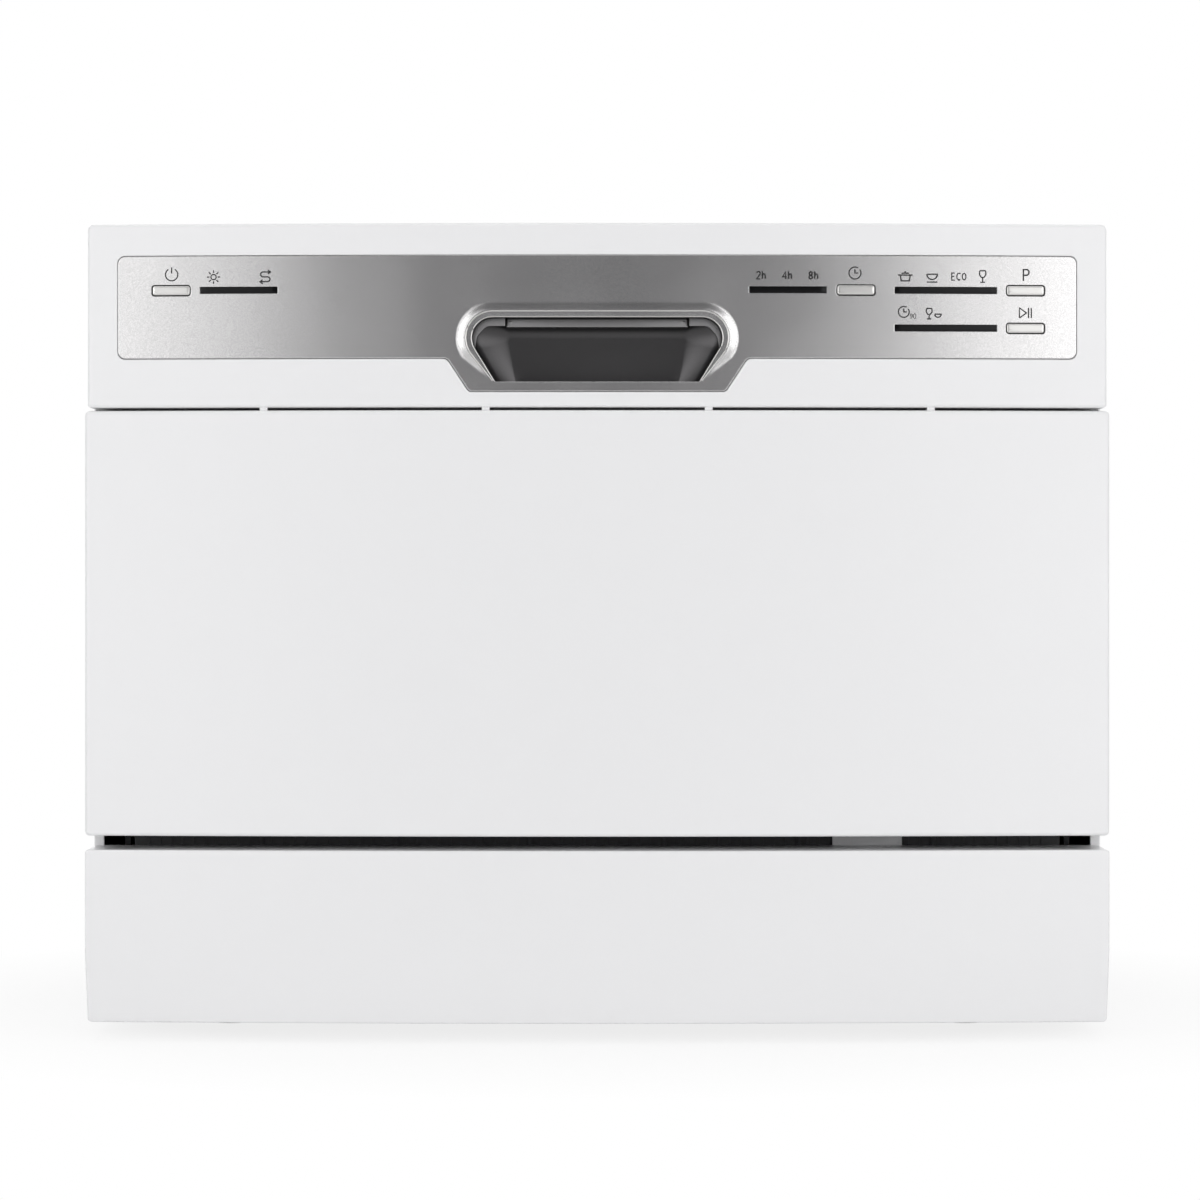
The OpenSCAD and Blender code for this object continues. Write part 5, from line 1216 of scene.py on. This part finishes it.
def make_rack():
    """The lower rack: round wires bent up at both ends into the walls, three rails round them, and the roller
    carriers with their axles. Wires are circles of one radius carried along bent paths."""
    lo, hi = box("rack_floor")
    w0, w1 = box("rack_walls")
    r, thin = 1.7 * MM, 1.4 * MM
    deck, cross = lo[2] + 1.8 * MM, lo[2] + 4.8 * MM
    wall_low, tall = w0[2] + 18.3 * MM, w1[2] - 2.2 * MM
    (x0, y0), (x1, y1) = lo[:2] + 1.8 * MM, hi[:2] - 1.8 * MM
    ends = [[(x, y0, tall), (x, y0, deck), (x, y1, deck), (x, y1, tall)] for x in np.linspace(x0, x1, 17)]
    ends += [[(x0, y, tall), (x0, y, cross), (x1, y, cross), (x1, y, tall)] for y in np.linspace(y0, y1, 13)]
    parts = [tube(bent(corners, 7 * MM, 6), thin, 8) for corners in ends]
    ring = rectangle(lo[0] + 0.4 * MM, hi[0] - 0.4 * MM, lo[1] + 0.4 * MM, hi[1] - 0.4 * MM, 9 * MM, 8)
    for z in (wall_low + 1.5 * MM, (wall_low + w1[2]) / 2, w1[2] - 1.9 * MM):
        parts.append(tube(np.column_stack([ring, np.full(len(ring), z)]), r + 0.2 * MM, 10, closed=True))
    carriers = []
    for node in ("front_rollers", "rear_rollers"):
        n0, n1 = box(node)
        y, z = (n0[1] + n1[1]) / 2, (n0[2] + n1[2]) / 2
        plate = slab(hi[0] - 0.2 * MM, hi[0] + 2.4 * MM, y - 7 * MM, y + 7 * MM, z - 6 * MM, wall_low + 12 * MM,
                     0.5 * MM)
        axle = [(0, hi[0]), (2.9 * MM, hi[0]), (2.9 * MM, n1[0] + 0.4 * MM), (2.3 * MM, w1[0]), (0, w1[0])]
        boss = [(0, hi[0] + 2 * MM), (5 * MM, hi[0] + 2 * MM), (4.4 * MM, hi[0] + 4 * MM), (0, hi[0] + 4 * MM)]
        carriers += [plate] + [turned(profile, (0, y, z), "X", 20) for profile in (axle, boss)]
    lugs = []
    pivot = JOINTS["cup_shelf_fold"]
    s0, s1 = box("cup_shelf")
    for y in (s0[1] + 1 * MM, s1[1] - 1 * MM):
        eye = np.array([(pivot[0] + 3.6 * MM * math.cos(a), y, pivot[2] + 3.6 * MM * math.sin(a))
                        for a in np.linspace(0, 2 * math.pi, 20, endpoint=False)])
        lugs.append(tube(eye, 1.3 * MM, 8, closed=True))
        lugs.append(tube([(lo[0] + 1 * MM, y, pivot[2]), (pivot[0] - 3.2 * MM, y, pivot[2])], 1.4 * MM, 8))
    piece("rack_wires", joined(parts + [mirrored(joined(carriers))] + lugs), "coated_wire", "rack",
          ["rack_floor", "rack_walls"], crease=60)
    t0, t1 = box("plate_tines")
    foot, tines = t0[2] + 1.5 * MM, []
    xs = t0[0] + 14 * MM + np.arange(5) * 56 * MM
    for y in np.linspace(t0[1] + 1.5 * MM, t1[1] - 1.5 * MM, 9):
        tines.append(tube([(t0[0], y, foot), (t1[0], y, foot)], 1.5 * MM, 8))
        for x in xs:
            tines.append(turned([(1.4 * MM, foot), (1.4 * MM, t1[2] - 1.4 * MM), (1.2 * MM, t1[2] - 0.6 * MM),
                                 (0.7 * MM, t1[2] - 0.1 * MM), (0, t1[2])], (x, y, 0), "Z", 8))
    piece("tine_wires", joined(tines), "coated_wire", "rack", ["plate_tines"], crease=60)


def make_shelf():
    """The cup shelf: a bent frame of round wire with cross wires, hung on a straight pivot wire."""
    lo, hi = box("cup_shelf")
    pivot = JOINTS["cup_shelf_fold"]
    z, r = pivot[2], 1.45 * MM
    y0, y1, x1 = lo[1] + 4 * MM, hi[1] - 4 * MM, hi[0] - 1.5 * MM
    frame_path = bent([(pivot[0], y0 + 1.5 * MM, z), (x1, y0 + 1.5 * MM, z), (x1, y1 - 1.5 * MM, z),
                       (pivot[0], y1 - 1.5 * MM, z)], 12 * MM, 8)
    parts = [tube(frame_path, r, 10), tube([(pivot[0], lo[1], z), (pivot[0], hi[1], z)], 1.9 * MM, 12)]
    parts += [tube([(pivot[0], y, z), (x1, y, z)], r * 0.85, 8) for y in np.linspace(y0, y1, 9)[1:-1]]
    parts += [tube([(x, y0 + 1.5 * MM, z - 0.2 * MM), (x, y1 - 1.5 * MM, z - 0.2 * MM)], r * 0.9, 8)
              for x in pivot[0] + (x1 - pivot[0]) * np.array([0.33, 0.66])]
    piece("shelf_wires", joined(parts), "coated_wire", "shelf", ["cup_shelf"], crease=60)


def panel_with_slots(place, u0, u1, v0, v1, slots, wall):
    """A flat panel of one thickness with rounded slots through it."""
    outline = stretched(rectangle(u0, u1, v0, v1, 1.2 * MM, 3), 8 * MM)
    sets = [[(outline, wall), (outline, 0.0)]]
    for a0, a1, b0, b1 in slots:
        hole = rectangle(a0, a1, b0, b1, min(a1 - a0, b1 - b0) * 0.45, 4)
        sets.append([(hole, wall), (hole, 0.0)])
    return shell(sets, place, spacing=30 * MM)


def make_basket():
    """The cutlery basket: slotted walls and floor, a divider, a rolled rim and an arched handle."""
    lo, hi = box("cutlery_basket")
    wall, rim = 1.8 * MM, hi[2] - 3 * MM
    rows = [(lo[2] + 8 * MM, lo[2] + 38 * MM), (lo[2] + 46 * MM, lo[2] + 76 * MM)]
    across = [(x, x + 5.5 * MM) for x in np.arange(lo[0] + 7 * MM, hi[0] - 9 * MM, 10 * MM)]
    along = [(y, y + 5.5 * MM) for y in np.arange(lo[1] + 7 * MM, hi[1] - 9 * MM, 10 * MM)]
    x_slots, y_slots = [(*a, *r) for a in across for r in rows], [(*a, *r) for a in along for r in rows]
    grid = [(*a, *b) for a in across for b in along]
    parts = [panel_with_slots(upright(lo[1]), lo[0], hi[0], lo[2], rim, x_slots, wall),
             panel_with_slots(inward(hi[1]), lo[0], hi[0], lo[2], rim, x_slots, wall),
             panel_with_slots(facing(hi[0]), lo[1] + 1 * MM, hi[1] - 1 * MM, lo[2], rim, y_slots, wall),
             panel_with_slots(facing(lo[0], -1), lo[1] + 1 * MM, hi[1] - 1 * MM, lo[2], rim, y_slots, wall),
             panel_with_slots(level(lo[2] + wall), lo[0] + 1 * MM, hi[0] - 1 * MM, lo[1] + 1 * MM, hi[1] - 1 * MM,
                              grid, wall)]
    middle = (lo[1] + hi[1]) / 2
    parts.append(slab(lo[0] + 1 * MM, hi[0] - 1 * MM, middle - 1 * MM, middle + 1 * MM, lo[2] + 1 * MM, rim, 0.4 * MM))
    edge = rectangle(lo[0] + 1.6 * MM, hi[0] - 1.6 * MM, lo[1] + 1.6 * MM, hi[1] - 1.6 * MM, 3 * MM, 5)
    parts.append(tube(np.column_stack([edge, np.full(len(edge), rim - 0.2 * MM)]), 1.7 * MM, 10, closed=True))
    bow_path = bent([(lo[0] + 3 * MM, middle, rim - 18 * MM), (lo[0] + 12 * MM, middle, rim + 0.4 * MM),
                     (hi[0] - 12 * MM, middle, rim + 0.4 * MM), (hi[0] - 3 * MM, middle, rim - 18 * MM)], 14 * MM, 8)
    parts.append(tube(bow_path, 2.5 * MM, 12))
    piece("basket", joined(parts), "grey_plastic", "rack", ["cutlery_basket"])


def make_spray_arm():
    """The spray arm: a lens-shaped section carried along the arm, its width w(x) waisted at the hub and closed
    at both tips, with a domed hub and raised jets on top."""
    lo, hi = box("spray_arm")
    y, z0, z1 = (lo[1] + hi[1]) / 2, lo[2] + 0.3 * MM, hi[2] - 3 * MM
    reach = hi[0]

    def curve(t):
        """The arm's sideways sweep at a share of its reach."""
        return 6 * MM * t * (1 - t ** 2) * 2.0
    t = np.linspace(-1, 1, 61)
    x = reach * t
    half = (15.5 * MM - 3.5 * MM * (1 - np.abs(t)) ** 2) * np.sqrt(np.clip(1 - np.abs(t) ** 14, 0, 1)) + 0.02 * MM
    rise = (z1 - z0) / 2 * np.clip(1 - np.abs(t) ** 10, 0, 1) ** 0.5 + 0.02 * MM
    a = np.linspace(0, 2 * math.pi, 28, endpoint=False)
    round_ = np.sign(np.cos(a)) * np.abs(np.cos(a)) ** 0.8, np.sign(np.sin(a)) * np.abs(np.sin(a)) ** 0.55
    grid = np.stack([np.broadcast_to(x[:, None], (61, 28)), y + curve(t)[:, None] + half[:, None] * round_[0],
                     (z0 + z1) / 2 + rise[:, None] * round_[1]], axis=-1)
    points, faces = surface(grid, closed_v=True)
    faces += [list(range(28)), list(range(60 * 28, 61 * 28))[::-1]]
    hub = [(0, z0), (21 * MM, z0), (22 * MM, z0 + 1.5 * MM), (22 * MM, z1), (20.5 * MM, z1 + 1.6 * MM),
           (12 * MM, hi[2] - 0.6 * MM), (5 * MM, hi[2]), (0, hi[2])]
    jet = [(1.0 * MM, z1 - 1.6 * MM), (3.6 * MM, z1 - 1.2 * MM), (3.2 * MM, z1 + 0.5 * MM), (2.2 * MM, z1 + 0.9 * MM),
           (1.2 * MM, z1 + 0.7 * MM), (0.9 * MM, z1 - 0.8 * MM), (0, z1 - 0.8 * MM)]
    parts = [(points, faces), turned(hub, (0, y, 0), "Z", 56)]
    for dx in np.array([-0.92, -0.76, -0.6, -0.44, -0.28, 0.34, 0.5, 0.66, 0.82, 0.95]):
        parts.append(turned(jet, (reach * dx, y + curve(dx), 0), "Z", 20))
    piece("arm_blade", joined(parts), "grey_plastic", "arm", ["spray_arm"])


def make_filter():
    """The filter: a ring with a crossed grip over an open cage of ribs, round a fine inner sleeve."""
    lo, hi, x, y, r = round_box("filter_cup")
    top_z = hi[2] - 10 * MM
    ring = [(r - 5 * MM, top_z - 3.5 * MM), (r - 0.3 * MM, top_z - 3.5 * MM), (r, top_z - 3 * MM),
            (r, top_z - 0.6 * MM), (r - 0.7 * MM, top_z), (r - 4.2 * MM, top_z), (r - 5 * MM, top_z - 0.8 * MM),
            (r - 5 * MM, top_z - 3.5 * MM)]
    foot = [(0, lo[2]), (r - 1 * MM, lo[2]), (r - 0.5 * MM, lo[2] + 0.5 * MM), (r - 0.5 * MM, lo[2] + 2 * MM),
            (0, lo[2] + 2 * MM)]
    sleeve = [(r - 4 * MM, lo[2] + 1 * MM), (r - 4 * MM, top_z - 2 * MM), (r - 4.8 * MM, top_z - 2 * MM),
              (r - 4.8 * MM, lo[2] + 1 * MM), (r - 4 * MM, lo[2] + 1 * MM)]
    parts = [turned(profile, (x, y, 0), "Z", 72) for profile in (ring, foot, sleeve)]
    for k in range(24):
        a = 2 * math.pi * k / 24
        px, py = x + (r - 1.8 * MM) * math.cos(a), y + (r - 1.8 * MM) * math.sin(a)
        parts.append(tube([(px, py, lo[2] + 1 * MM), (px, py, top_z - 2 * MM)], 1.3 * MM, 8))
    for z in np.linspace(lo[2] + 12 * MM, top_z - 12 * MM, 5):
        circle = [(x + (r - 2.4 * MM) * math.cos(a), y + (r - 2.4 * MM) * math.sin(a), z)
                  for a in np.linspace(0, 2 * math.pi, 48, endpoint=False)]
        parts.append(tube(circle, 0.9 * MM, 6, closed=True))
    grip = r - 6 * MM
    parts.append(slab(x - grip, x + grip, y - 2 * MM, y + 2 * MM, top_z - 8 * MM, hi[2], 1.0 * MM))
    parts.append(slab(x - 2 * MM, x + 2 * MM, y - r + 4 * MM, y + r - 4 * MM, top_z - 4 * MM, top_z - 1 * MM, 0.8 * MM))
    piece("filter_cage", joined(parts), "grey_plastic", "filter", ["filter_cup"])


def make_floor_parts():
    """The salt cap, the float and the four rollers: turned shapes, the cap with a rippled grip."""
    lo, hi, x, y, r = round_box("salt_cap")
    foot, top_z = lo[2] + 9.3 * MM, hi[2] - 4 * MM
    rows = [(0, foot, 0), (0.93, foot, 0), (1, foot + 0.8 * MM, 1), (1, top_z - 1.2 * MM, 1),
            (0.95, top_z - 0.2 * MM, 0), (0.86, top_z, 0), (0.8, top_z - 0.8 * MM, 0), (0, top_z - 0.8 * MM, 0)]
    cap = knurled(r - 0.7 * MM, 0.7 * MM, 30, rows, (x, y, 0), sides=150)
    core = [(0, lo[2]), (r - 8.4 * MM, lo[2]), (r - 8.4 * MM, foot + 1 * MM), (0, foot + 1 * MM)]
    plug = turned(core, (x, y, 0), "Z", 48)
    grip = slab(x - 20 * MM, x + 20 * MM, y - 2.5 * MM, y + 2.5 * MM, top_z - 2 * MM, hi[2], 1.0 * MM)
    piece("salt_lid", joined([cap, plug, grip]), "grey_plastic", "softener_cap", ["salt_cap"])
    lo, hi, x, y, r = round_box("float")
    base = hi[2] - 13.6 * MM
    stem_r = 4.0 * MM
    rows = [(0, lo[2]), (stem_r, lo[2]), (stem_r, hi[2] - 4 * MM), (r - 2.5 * MM, hi[2] - 4 * MM),
            (r - 1.5 * MM, hi[2] - 5 * MM), (r - 1.5 * MM, base), (r, base), (r, hi[2] - 4 * MM),
            (r - 0.8 * MM, hi[2] - 1.6 * MM), (r - 3 * MM, hi[2] - 0.5 * MM), (r - 8 * MM, hi[2] - 0.2 * MM),
            (0, hi[2])]
    dome = turned(rows, (x, y, 0), "Z", 56)
    piece("float_dome", dome, "pale_plastic", "level_float", ["float"])
    for node, body in (("front_rollers", "rollers_front"), ("rear_rollers", "rollers_rear")):
        lo, hi = box(node)
        y, z, r = (lo[1] + hi[1]) / 2, (lo[2] + hi[2]) / 2, (hi[1] - lo[1]) / 2
        x0, x1 = hi[0] - 8 * MM, hi[0]
        rows = [(3.2 * MM, x0), (4.6 * MM, x0), (4.9 * MM, x0 + 2.6 * MM), (7.4 * MM, x0 + 2.6 * MM),
                (7.6 * MM, x0 + 0.2 * MM), (r - 0.8 * MM, x0), (r, x0 + 0.9 * MM), (r, x1 - 0.9 * MM),
                (r - 0.8 * MM, x1), (7.6 * MM, x1 - 0.2 * MM), (7.4 * MM, x1 - 2.6 * MM), (4.9 * MM, x1 - 2.6 * MM),
                (4.6 * MM, x1), (3.2 * MM, x1), (3.2 * MM, x0)]
        wheel = turned(rows, (0, y, z), "X", 48)
        spokes = []
        for k in range(5):
            a = 2 * math.pi * k / 5
            for x in (x0 + 1.6 * MM, x1 - 1.6 * MM):
                ends = [(x, y + q * math.cos(a), z + q * math.sin(a)) for q in (4.4 * MM, 8 * MM)]
                spokes.append(tube(ends, 0.8 * MM, 8))
        piece(node + "_wheels", mirrored(joined([wheel] + spokes)), "grey_plastic", body, [node])


# ---------------------------------------------------------------- stage


def softbox(name, azimuth, distance, height, width, tall, radiance):
    """An area lamp turned to the object's middle: its power gives the radiance that a mirror would show."""
    lamp = bpy.data.lights.new(name, "AREA")
    lamp.shape = "RECTANGLE"
    lamp.size, lamp.size_y = width, tall
    lamp.energy = radiance * math.pi * width * tall
    made = bpy.data.objects.new(name, lamp)
    angle = math.radians(azimuth)
    made.location = (distance * math.sin(angle), -distance * math.cos(angle), height)
    aim = Vector((0, 0, 0.22)) - made.location
    made.rotation_euler = aim.to_track_quat("-Z", "Y").to_euler()
    bpy.context.scene.collection.objects.link(made)


def shown(tree):
    """One for each ray that shows a background: the camera's, and what a surface mirrors or lets through."""
    rays = add(tree, "LightPath").outputs
    two = add(tree, "Math", {0: rays["Is Camera Ray"], 1: rays["Is Glossy Ray"]}, operation="MAXIMUM").outputs["Value"]
    return add(tree, "Math", {0: two, 1: rays["Is Transmission Ray"]}, operation="MAXIMUM").outputs["Value"]


def stage_sheet(name, part, title, code, rough, wash=0.97):
    """A sheet of the stage in a plain coat: gives its object and the node tree of its finish."""
    mesh = bpy.data.meshes.new(name)
    mesh.from_pydata(part[0].tolist(), [], part[1])
    made = bpy.data.objects.new(name, mesh)
    bpy.context.scene.collection.objects.link(made)
    look = bpy.data.materials.new(title)
    look.use_nodes = True
    painted(look.node_tree, look.node_tree.nodes["Principled BSDF"], code, rough, 0, 1, wash=wash)
    mesh.materials.append(look)
    return made, look.node_tree


def make_flag():
    """A grey flag behind the camera and the strips, y = x^2 / 4 - distance: the middle of the fascia mirrors it."""
    u, v = np.meshgrid(np.linspace(-1.5, 1.5, 17), np.linspace(0, 4.4, 9))
    part = surface(np.stack([u, u * u / 4 - 3.1, v], axis=-1).transpose(1, 0, 2))
    stage_sheet("flag", part, "Grey felt", "#8E8E90", 0.9)[0].visible_camera = False


def make_floor():
    """The floor: a wide flat sheet that fades to the room's white away from the object."""
    profile = [(r, 0) for r in (0, 0.3, 0.6, 1.0, 2.0, 4.0)]
    part = turned(profile, (0, 0, -0.0002), sides=96)
    tree = stage_sheet("floor", part, "Seamless paper, white", "#F4F4F4", 0.7, 0.995)[1]
    where = add(tree, "TexCoord").outputs["Object"]
    reach = add(tree, "VectorMath", {0: where}, operation="LENGTH").outputs["Value"]
    far = ramp(tree, reach, 0.82, 1.0, 0.28, 0.5)
    share = add(tree, "Math", {0: far, 1: shown(tree)}, operation="MULTIPLY").outputs["Value"]
    coat = tree.nodes["Principled BSDF"].outputs["BSDF"]
    white = add(tree, "Emission", {"Color": (1, 1, 1, 1), "Strength": 1.0}).outputs["Emission"]
    both = add(tree, "MixShader", {0: share, 1: coat, 2: white}).outputs["Shader"]
    tree.links.new(both, tree.nodes["Material Output"].inputs["Surface"])


def make_room():
    """The room: white where it is seen or mirrored, and a plain soft fill for everything else."""
    s = bpy.context.scene.stage_sizes
    world = bpy.data.worlds.new("Studio")
    bpy.context.scene.world = world
    world.use_nodes = True
    tree = world.node_tree
    fill = add(tree, "Background", {"Color": (1, 1, 1, 1), "Strength": s.fill}).outputs["Background"]
    white = add(tree, "Background", {"Color": (1, 1, 1, 1), "Strength": 1.0}).outputs["Background"]
    both = add(tree, "MixShader", {0: shown(tree), 1: fill, 2: white}).outputs["Shader"]
    tree.links.new(both, tree.nodes["World Output"].inputs["Surface"])


def make_camera():
    """A level camera in front of the object, a little right of its middle."""
    s = bpy.context.scene.stage_sizes
    lens = bpy.data.cameras.new("camera")
    lens.lens = s.lens
    made = bpy.data.objects.new("camera", lens)
    front_y = CROWN_Y + bpy.context.scene.front_sizes.bow
    made.location = (s.side, front_y - s.distance, s.height)
    made.rotation_euler = (math.radians(90), 0, 0)
    bpy.context.scene.collection.objects.link(made)
    bpy.context.scene.camera = made
    bpy.context.scene.view_settings.view_transform = "Standard"


def make_lamps():
    """Two strips and two softboxes in front, one softbox overhead and two behind."""
    lamp = bpy.context.scene.stage_sizes.lamp
    softbox("left strip", -20, 2.7, 0.45, 0.6, 2.2, 0.95 * lamp)
    softbox("right strip", 20, 2.7, 0.45, 0.6, 2.2, 1.22 * lamp)
    softbox("left softbox", -48, 2.6, 0.5, 1.7, 2.4, 1.16 * lamp)
    softbox("right softbox", 48, 2.6, 0.5, 1.7, 2.4, 1.16 * lamp)
    softbox("top softbox", 0, 0.2, 2.6, 2.6, 2.6, 1.05)
    softbox("back softbox", 150, 3.0, 1.6, 2.2, 2.2, 1.1)
    softbox("second back softbox", -150, 3.0, 1.6, 2.2, 2.2, 1.1)


# ---------------------------------------------------------------- add-on


class Step:
    """What the steps share: each runs its makers in their order."""

    def execute(self, context):
        for make in self.makers:
            make()
        return {"FINISHED"}


class MakeStage(Step, bpy.types.Operator):
    """Makes the camera, the floor, the room, the flag and the lamps"""

    bl_idname = "dishwasher.stage"
    bl_label = "Stage"
    makers = (make_camera, make_floor, make_room, make_flag, make_lamps)


class MakeFront(Step, bpy.types.Operator):
    """Makes the door, the console with its handle and keys, and the skirt"""

    bl_idname = "dishwasher.front"
    bl_label = "Front"
    makers = (make_door_skin, make_console, make_fascia, make_rim_lines, make_pocket, make_lever, make_keys,
              make_windows, make_print, make_skirt, make_toe_gap)


class MakeCabinet(Step, bpy.types.Operator):
    """Makes the sides, the top, the back, its screws and the feet"""

    bl_idname = "dishwasher.cabinet"
    bl_label = "Cabinet"
    makers = (make_side_panels, make_top, make_back, make_screws, make_feet)


class MakeInnerDoor(Step, bpy.types.Operator):
    """Makes the inner door, the dispenser, its flap and its cap"""

    bl_idname = "dishwasher.inner_door"
    bl_label = "Inner door"
    makers = (make_inner_door, make_dispenser)


class MakeTub(Step, bpy.types.Operator):
    """Makes the tub's seal and pressings, the spray arm, the filter, and the caps and wheels"""

    bl_idname = "dishwasher.tub"
    bl_label = "Tub"
    makers = (make_seal, make_tub_pressings, make_spray_arm, make_filter, make_floor_parts)


class MakeRack(Step, bpy.types.Operator):
    """Makes the rack's wires, the cup shelf and the cutlery basket"""

    bl_idname = "dishwasher.rack"
    bl_label = "Rack"
    makers = (make_rack, make_shelf, make_basket)


class DISHWASHER_PT_panel(bpy.types.Panel):
    """The sizes and the steps"""

    bl_label = "Dishwasher"
    bl_space_type = "VIEW_3D"
    bl_region_type = "UI"
    bl_category = "Dishwasher"

    def draw(self, context):
        for name, group in GROUPS.items():
            for key in group.__annotations__:
                self.layout.prop(getattr(context.scene, name), key)
        for step in STEPS:
            self.layout.operator(step.bl_idname)


GROUPS = {"front_sizes": FrontSizes, "fascia_sizes": FasciaSizes, "dishwasher_colours": FinishColours,
          "stage_sizes": StageSizes}
STEPS = (MakeStage, MakeFront, MakeCabinet, MakeInnerDoor, MakeTub, MakeRack)
CLASSES = (*GROUPS.values(), *STEPS, DISHWASHER_PT_panel)


def register():
    """Registers the classes and puts the groups on the scene."""
    for kind in CLASSES:
        bpy.utils.register_class(kind)
    for name, group in GROUPS.items():
        setattr(bpy.types.Scene, name, PointerProperty(type=group))


def unregister():
    """Takes the groups and the classes away."""
    for name in GROUPS:
        delattr(bpy.types.Scene, name)
    for kind in reversed(CLASSES):
        bpy.utils.unregister_class(kind)


def main():
    """Dresses the frame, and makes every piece."""
    register()
    slots = {part["node"]: part["material_slot"] for part in frame["record"]["subparts"]}
    for name, node in frame["nodes"].items():
        for holder in node.material_slots:
            holder.material = material("hinge" if name.startswith("hinge") else slots[name])
    for step in STEPS:
        group, name = step.bl_idname.split(".")
        getattr(getattr(bpy.ops, group), name)()


if __name__ == "__main__":
    main()
